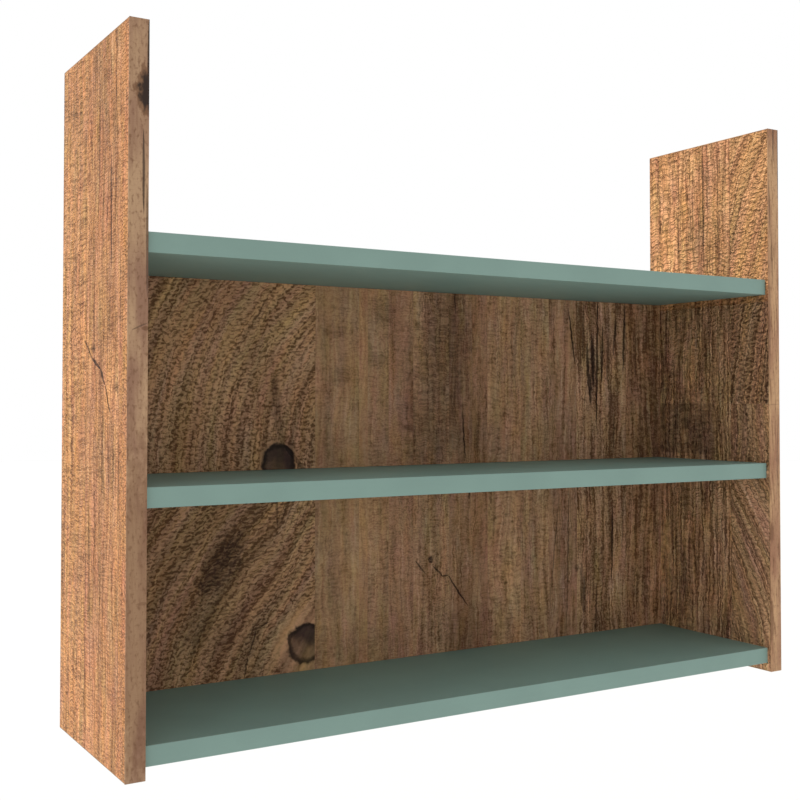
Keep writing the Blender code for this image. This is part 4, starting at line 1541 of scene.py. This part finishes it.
class WALLSHELF_OT_sage_shelves(bpy.types.Operator):
    """Make the three shelves in sage, with round bores for their cams"""

    bl_idname = "wall_shelf.sage_shelves"
    bl_label = "Sage Shelves"

    def execute(self, context):
        sizes = context.scene.shelf_fittings
        core = bpy.data.materials["chipboard"]
        sage = sage_material("sage_print", context.scene.shelf_sage, roughness=0.55)
        cam = size_of("cam_top_left_front")
        diameter = cam.x + 2 * sizes.bore_gap
        depth = cam.z + sizes.bore_gap
        bores = {level: [] for level in LEVELS}
        for level, side, row in cam_nodes():
            mouth, up = cam_centre(level, side, row)
            inwards = Vector((0.0, 0.0, -1.0 if up else 1.0))
            bore = rod(diameter, mouth - inwards * REACH, mouth + inwards * depth, sizes.segments)
            bores[level].append(bore)
        for level in LEVELS:
            node = f"shelf_{level}"
            shape = carve(board_shape(node), *bores[level])
            add_board(node, shape, {(2, -1): sage, (2, 1): sage}, core)
        return {"FINISHED"}


class WALLSHELF_OT_edge_bands(bpy.types.Operator):
    """Make the edge bands of all the boards"""

    bl_idname = "wall_shelf.edge_bands"
    bl_label = "Edge Bands"

    def execute(self, context):
        finish = context.scene.shelf_pine
        rounding = context.scene.shelf_fittings.band_rounding
        pine = {
            "left": pine_band_material("pine_band_left", LEFT_BAND, finish),
            "right": pine_band_material("pine_band_right", RIGHT_BAND, finish),
        }
        for side, material in pine.items():
            for place, facing in {"front": (1, -1), "top": (2, 1), "bottom": (2, -1)}.items():
                node = f"edge_band_{side}_{place}"
                add_piece(node, band_shape(node, *facing, rounding), [material])
        sage = sage_material("sage_band", context.scene.shelf_sage, roughness=0.5)
        for level in LEVELS:
            node = f"edge_band_shelf_{level}"
            add_piece(node, band_shape(node, 1, -1, rounding), [sage])
        return {"FINISHED"}


class WALLSHELF_OT_cams(bpy.types.Operator):
    """Make the die-cast cams"""

    bl_idname = "wall_shelf.cams"
    bl_label = "Cams"

    def execute(self, context):
        sizes = context.scene.shelf_fittings
        zinc = metal_material("zinc", sizes.zinc, roughness=0.42, spots_per_metre=900.0, relief=0.00004)
        cam = size_of("cam_top_left_front")
        shape = cam_shape(sizes, cam.x, cam.z, size_of("shelf_top").z / 2)
        for level, side, row in cam_nodes():
            mouth, up = cam_centre(level, side, row)
            over = Matrix.Rotation(0.0 if up else math.pi, 4, "X")
            round_about = Matrix.Rotation(0.0 if SIDES[side] < 0 else math.pi, 4, "Z")
            matrix = Matrix.Translation(mouth) @ round_about @ over
            add_piece(f"cam_{level}_{side}_{row}", moved(shape, matrix), [zinc])
        shape.free()
        return {"FINISHED"}


class WALLSHELF_OT_cam_bolts(bpy.types.Operator):
    """Make the threaded cam bolts"""

    bl_idname = "wall_shelf.cam_bolts"
    bl_label = "Cam Bolts"

    def execute(self, context):
        sizes = context.scene.shelf_fittings
        steel = metal_material(
            "bolt_steel", sizes.steel, roughness=0.32, spots_per_metre=1400.0, relief=0.00001)
        panel_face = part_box("side_panel_right")[0].x
        mouth, _ = cam_centre("top", "right", "front")
        shape = bolt_shape(sizes, panel_face - mouth.x)
        for level, side, row in cam_nodes():
            node = f"cam_bolt_{level}_{side}_{row}"
            middle = middle_of(node)
            place = Vector((SIDES[side] * panel_face, middle.y, middle.z))
            matrix = Matrix.Translation(place) @ Matrix.Rotation(-SIDES[side] * math.pi / 2, 4, "Y")
            add_piece(node, moved(shape, matrix), [steel])
        shape.free()
        return {"FINISHED"}


class WALLSHELF_OT_dowels(bpy.types.Operator):
    """Make the fluted dowels"""

    bl_idname = "wall_shelf.dowels"
    bl_label = "Dowels"

    def execute(self, context):
        sizes = context.scene.shelf_fittings
        dowel = size_of("dowel_shelf_top_left")
        shape = dowel_shape(sizes, dowel.z, dowel.x)
        lying = beech_material("beech_lying", True, sizes.beech)
        standing = beech_material("beech_standing", False, sizes.beech)
        for node in frame["nodes"]:
            if not node.startswith("dowel"):
                continue
            size = size_of(node)
            crosswise = size.x > size.z
            turn = Matrix.Rotation(math.pi / 2 if crosswise else 0.0, 4, "Y")
            matrix = Matrix.Translation(middle_of(node)) @ turn
            add_piece(node, moved(shape, matrix), [lying if crosswise else standing])
        shape.free()
        return {"FINISHED"}


class WALLSHELF_OT_hangers(bpy.types.Operator):
    """Make the keyhole hanger plates and their screws"""

    bl_idname = "wall_shelf.hangers"
    bl_label = "Hangers"

    def execute(self, context):
        sizes = context.scene.shelf_fittings
        steel = metal_material(
            "plate_steel", sizes.steel, roughness=0.36, spots_per_metre=1100.0, relief=0.00001)
        screw_size = size_of("hanger_screw_left_upper")
        screw = screw_shape(sizes, screw_size.x, screw_size.y)
        screw_places = {end: middle_of(f"hanger_screw_left_{end}").z for end in ("lower", "upper")}
        size = size_of("hanger_plate_left")
        middle = middle_of("hanger_plate_left").z
        plate = plate_shape(sizes, size.x, size.z, size.y, middle, screw_places.values(), screw_size.x)
        for side in SIDES:
            node = f"hanger_plate_{side}"
            x = middle_of(node).x
            add_piece(node, moved(plate, wall_turn(x, 0.0)), [steel])
            for end, z in screw_places.items():
                node = f"hanger_screw_{side}_{end}"
                add_piece(node, moved(screw, wall_turn(x, z)), [steel])
        plate.free()
        screw.free()
        return {"FINISHED"}


class WALLSHELF_OT_stage(bpy.types.Operator):
    """Set up the floor, the light and the camera"""

    bl_idname = "wall_shelf.stage"
    bl_label = "Stage"

    def execute(self, context):
        stage = context.scene.shelf_stage
        context.scene.view_settings.view_transform = "Standard"
        add_floor(context.scene, stage)
        add_light(context.scene, stage)
        add_camera(context.scene, stage)
        return {"FINISHED"}


def add_floor(scene, stage):
    """A plain floor under the shelf."""
    shape = disc(stage.floor_radius, FLOOR_SEGMENTS)
    bmesh.ops.translate(shape, verts=shape.verts, vec=(0.0, 0.0, CAD_LOW.z - stage.floor_drop))
    mesh = bpy.data.meshes.new("floor")
    shape.to_mesh(mesh)
    shape.free()
    material, tree = new_material("floor")
    shader = tree.nodes["Principled BSDF"]
    shader.inputs["Base Color"].default_value = (*stage.floor_colour, 1.0)
    shader.inputs["Roughness"].default_value = FLOOR_ROUGHNESS
    mesh.materials.append(material)
    floor = bpy.data.objects.new("floor", mesh)
    scene.collection.objects.link(floor)


def add_light(scene, stage):
    """Even light from all round, white where it is seen, and a key light."""
    world = bpy.data.worlds.new("studio")
    world.use_nodes = True
    tree = world.node_tree
    path = tree.nodes.new("ShaderNodeLightPath")
    seen = Wire(tree, path.outputs["Is Camera Ray"])
    for ray in ("Is Glossy Ray", "Is Transmission Ray"):
        seen = maths("MAXIMUM", seen, Wire(tree, path.outputs[ray]))
    background = tree.nodes["Background"]
    background.inputs["Color"].default_value = (1.0, 1.0, 1.0, 1.0)
    feed(tree, background.inputs["Strength"], between(seen, stage.sky, 1.0))
    scene.world = world
    light = bpy.data.lights.new("key", "SUN")
    light.energy = stage.key
    light.angle = stage.key_spread
    lamp = bpy.data.objects.new("key", light)
    lamp.rotation_euler = Vector(stage.key_travel).to_track_quat("-Z", "Y").to_euler()
    scene.collection.objects.link(lamp)


def add_camera(scene, stage):
    """The camera that sees the shelf as the photo does."""
    lens = bpy.data.cameras.new("camera")
    lens.sensor_width = stage.sensor
    lens.lens = stage.lens
    lens.shift_x, lens.shift_y = stage.shift
    camera = bpy.data.objects.new("camera", lens)
    camera.location = stage.camera
    camera.rotation_euler = (math.radians(90.0) + stage.tilt, 0.0, -stage.heading)
    scene.collection.objects.link(camera)
    scene.camera = camera


class WALLSHELF_PT_panel(bpy.types.Panel):
    """Lists the steps that dress the shelf"""

    bl_label = "Wall Shelf"
    bl_idname = "WALLSHELF_PT_panel"
    bl_space_type = "VIEW_3D"
    bl_region_type = "UI"
    bl_category = "Wall Shelf"

    def draw(self, context):
        for operator in OPERATORS:
            self.layout.operator(operator.bl_idname)


GROUPS = {
    "shelf_pine": PineFinish,
    "shelf_sage": SageFinish,
    "shelf_fittings": FittingSizes,
    "shelf_stage": StageSettings,
}
OPERATORS = (
    WALLSHELF_OT_pine_boards,
    WALLSHELF_OT_sage_shelves,
    WALLSHELF_OT_edge_bands,
    WALLSHELF_OT_cams,
    WALLSHELF_OT_cam_bolts,
    WALLSHELF_OT_dowels,
    WALLSHELF_OT_hangers,
    WALLSHELF_OT_stage,
)


def register():
    """Add the settings, the operators and the panel."""
    for kind in (*GROUPS.values(), *OPERATORS, WALLSHELF_PT_panel):
        bpy.utils.register_class(kind)
    for name, group in GROUPS.items():
        setattr(bpy.types.Scene, name, PointerProperty(type=group))


def unregister():
    """Take them away again."""
    for name in GROUPS:
        delattr(bpy.types.Scene, name)
    for kind in (WALLSHELF_PT_panel, *OPERATORS, *GROUPS.values()):
        bpy.utils.unregister_class(kind)


def main():
    """Dress the shelf."""
    register()
    bpy.ops.wall_shelf.pine_boards()
    bpy.ops.wall_shelf.sage_shelves()
    bpy.ops.wall_shelf.edge_bands()
    bpy.ops.wall_shelf.cams()
    bpy.ops.wall_shelf.cam_bolts()
    bpy.ops.wall_shelf.dowels()
    bpy.ops.wall_shelf.hangers()
    bpy.ops.wall_shelf.stage()


if __name__ == "__main__":
    main()
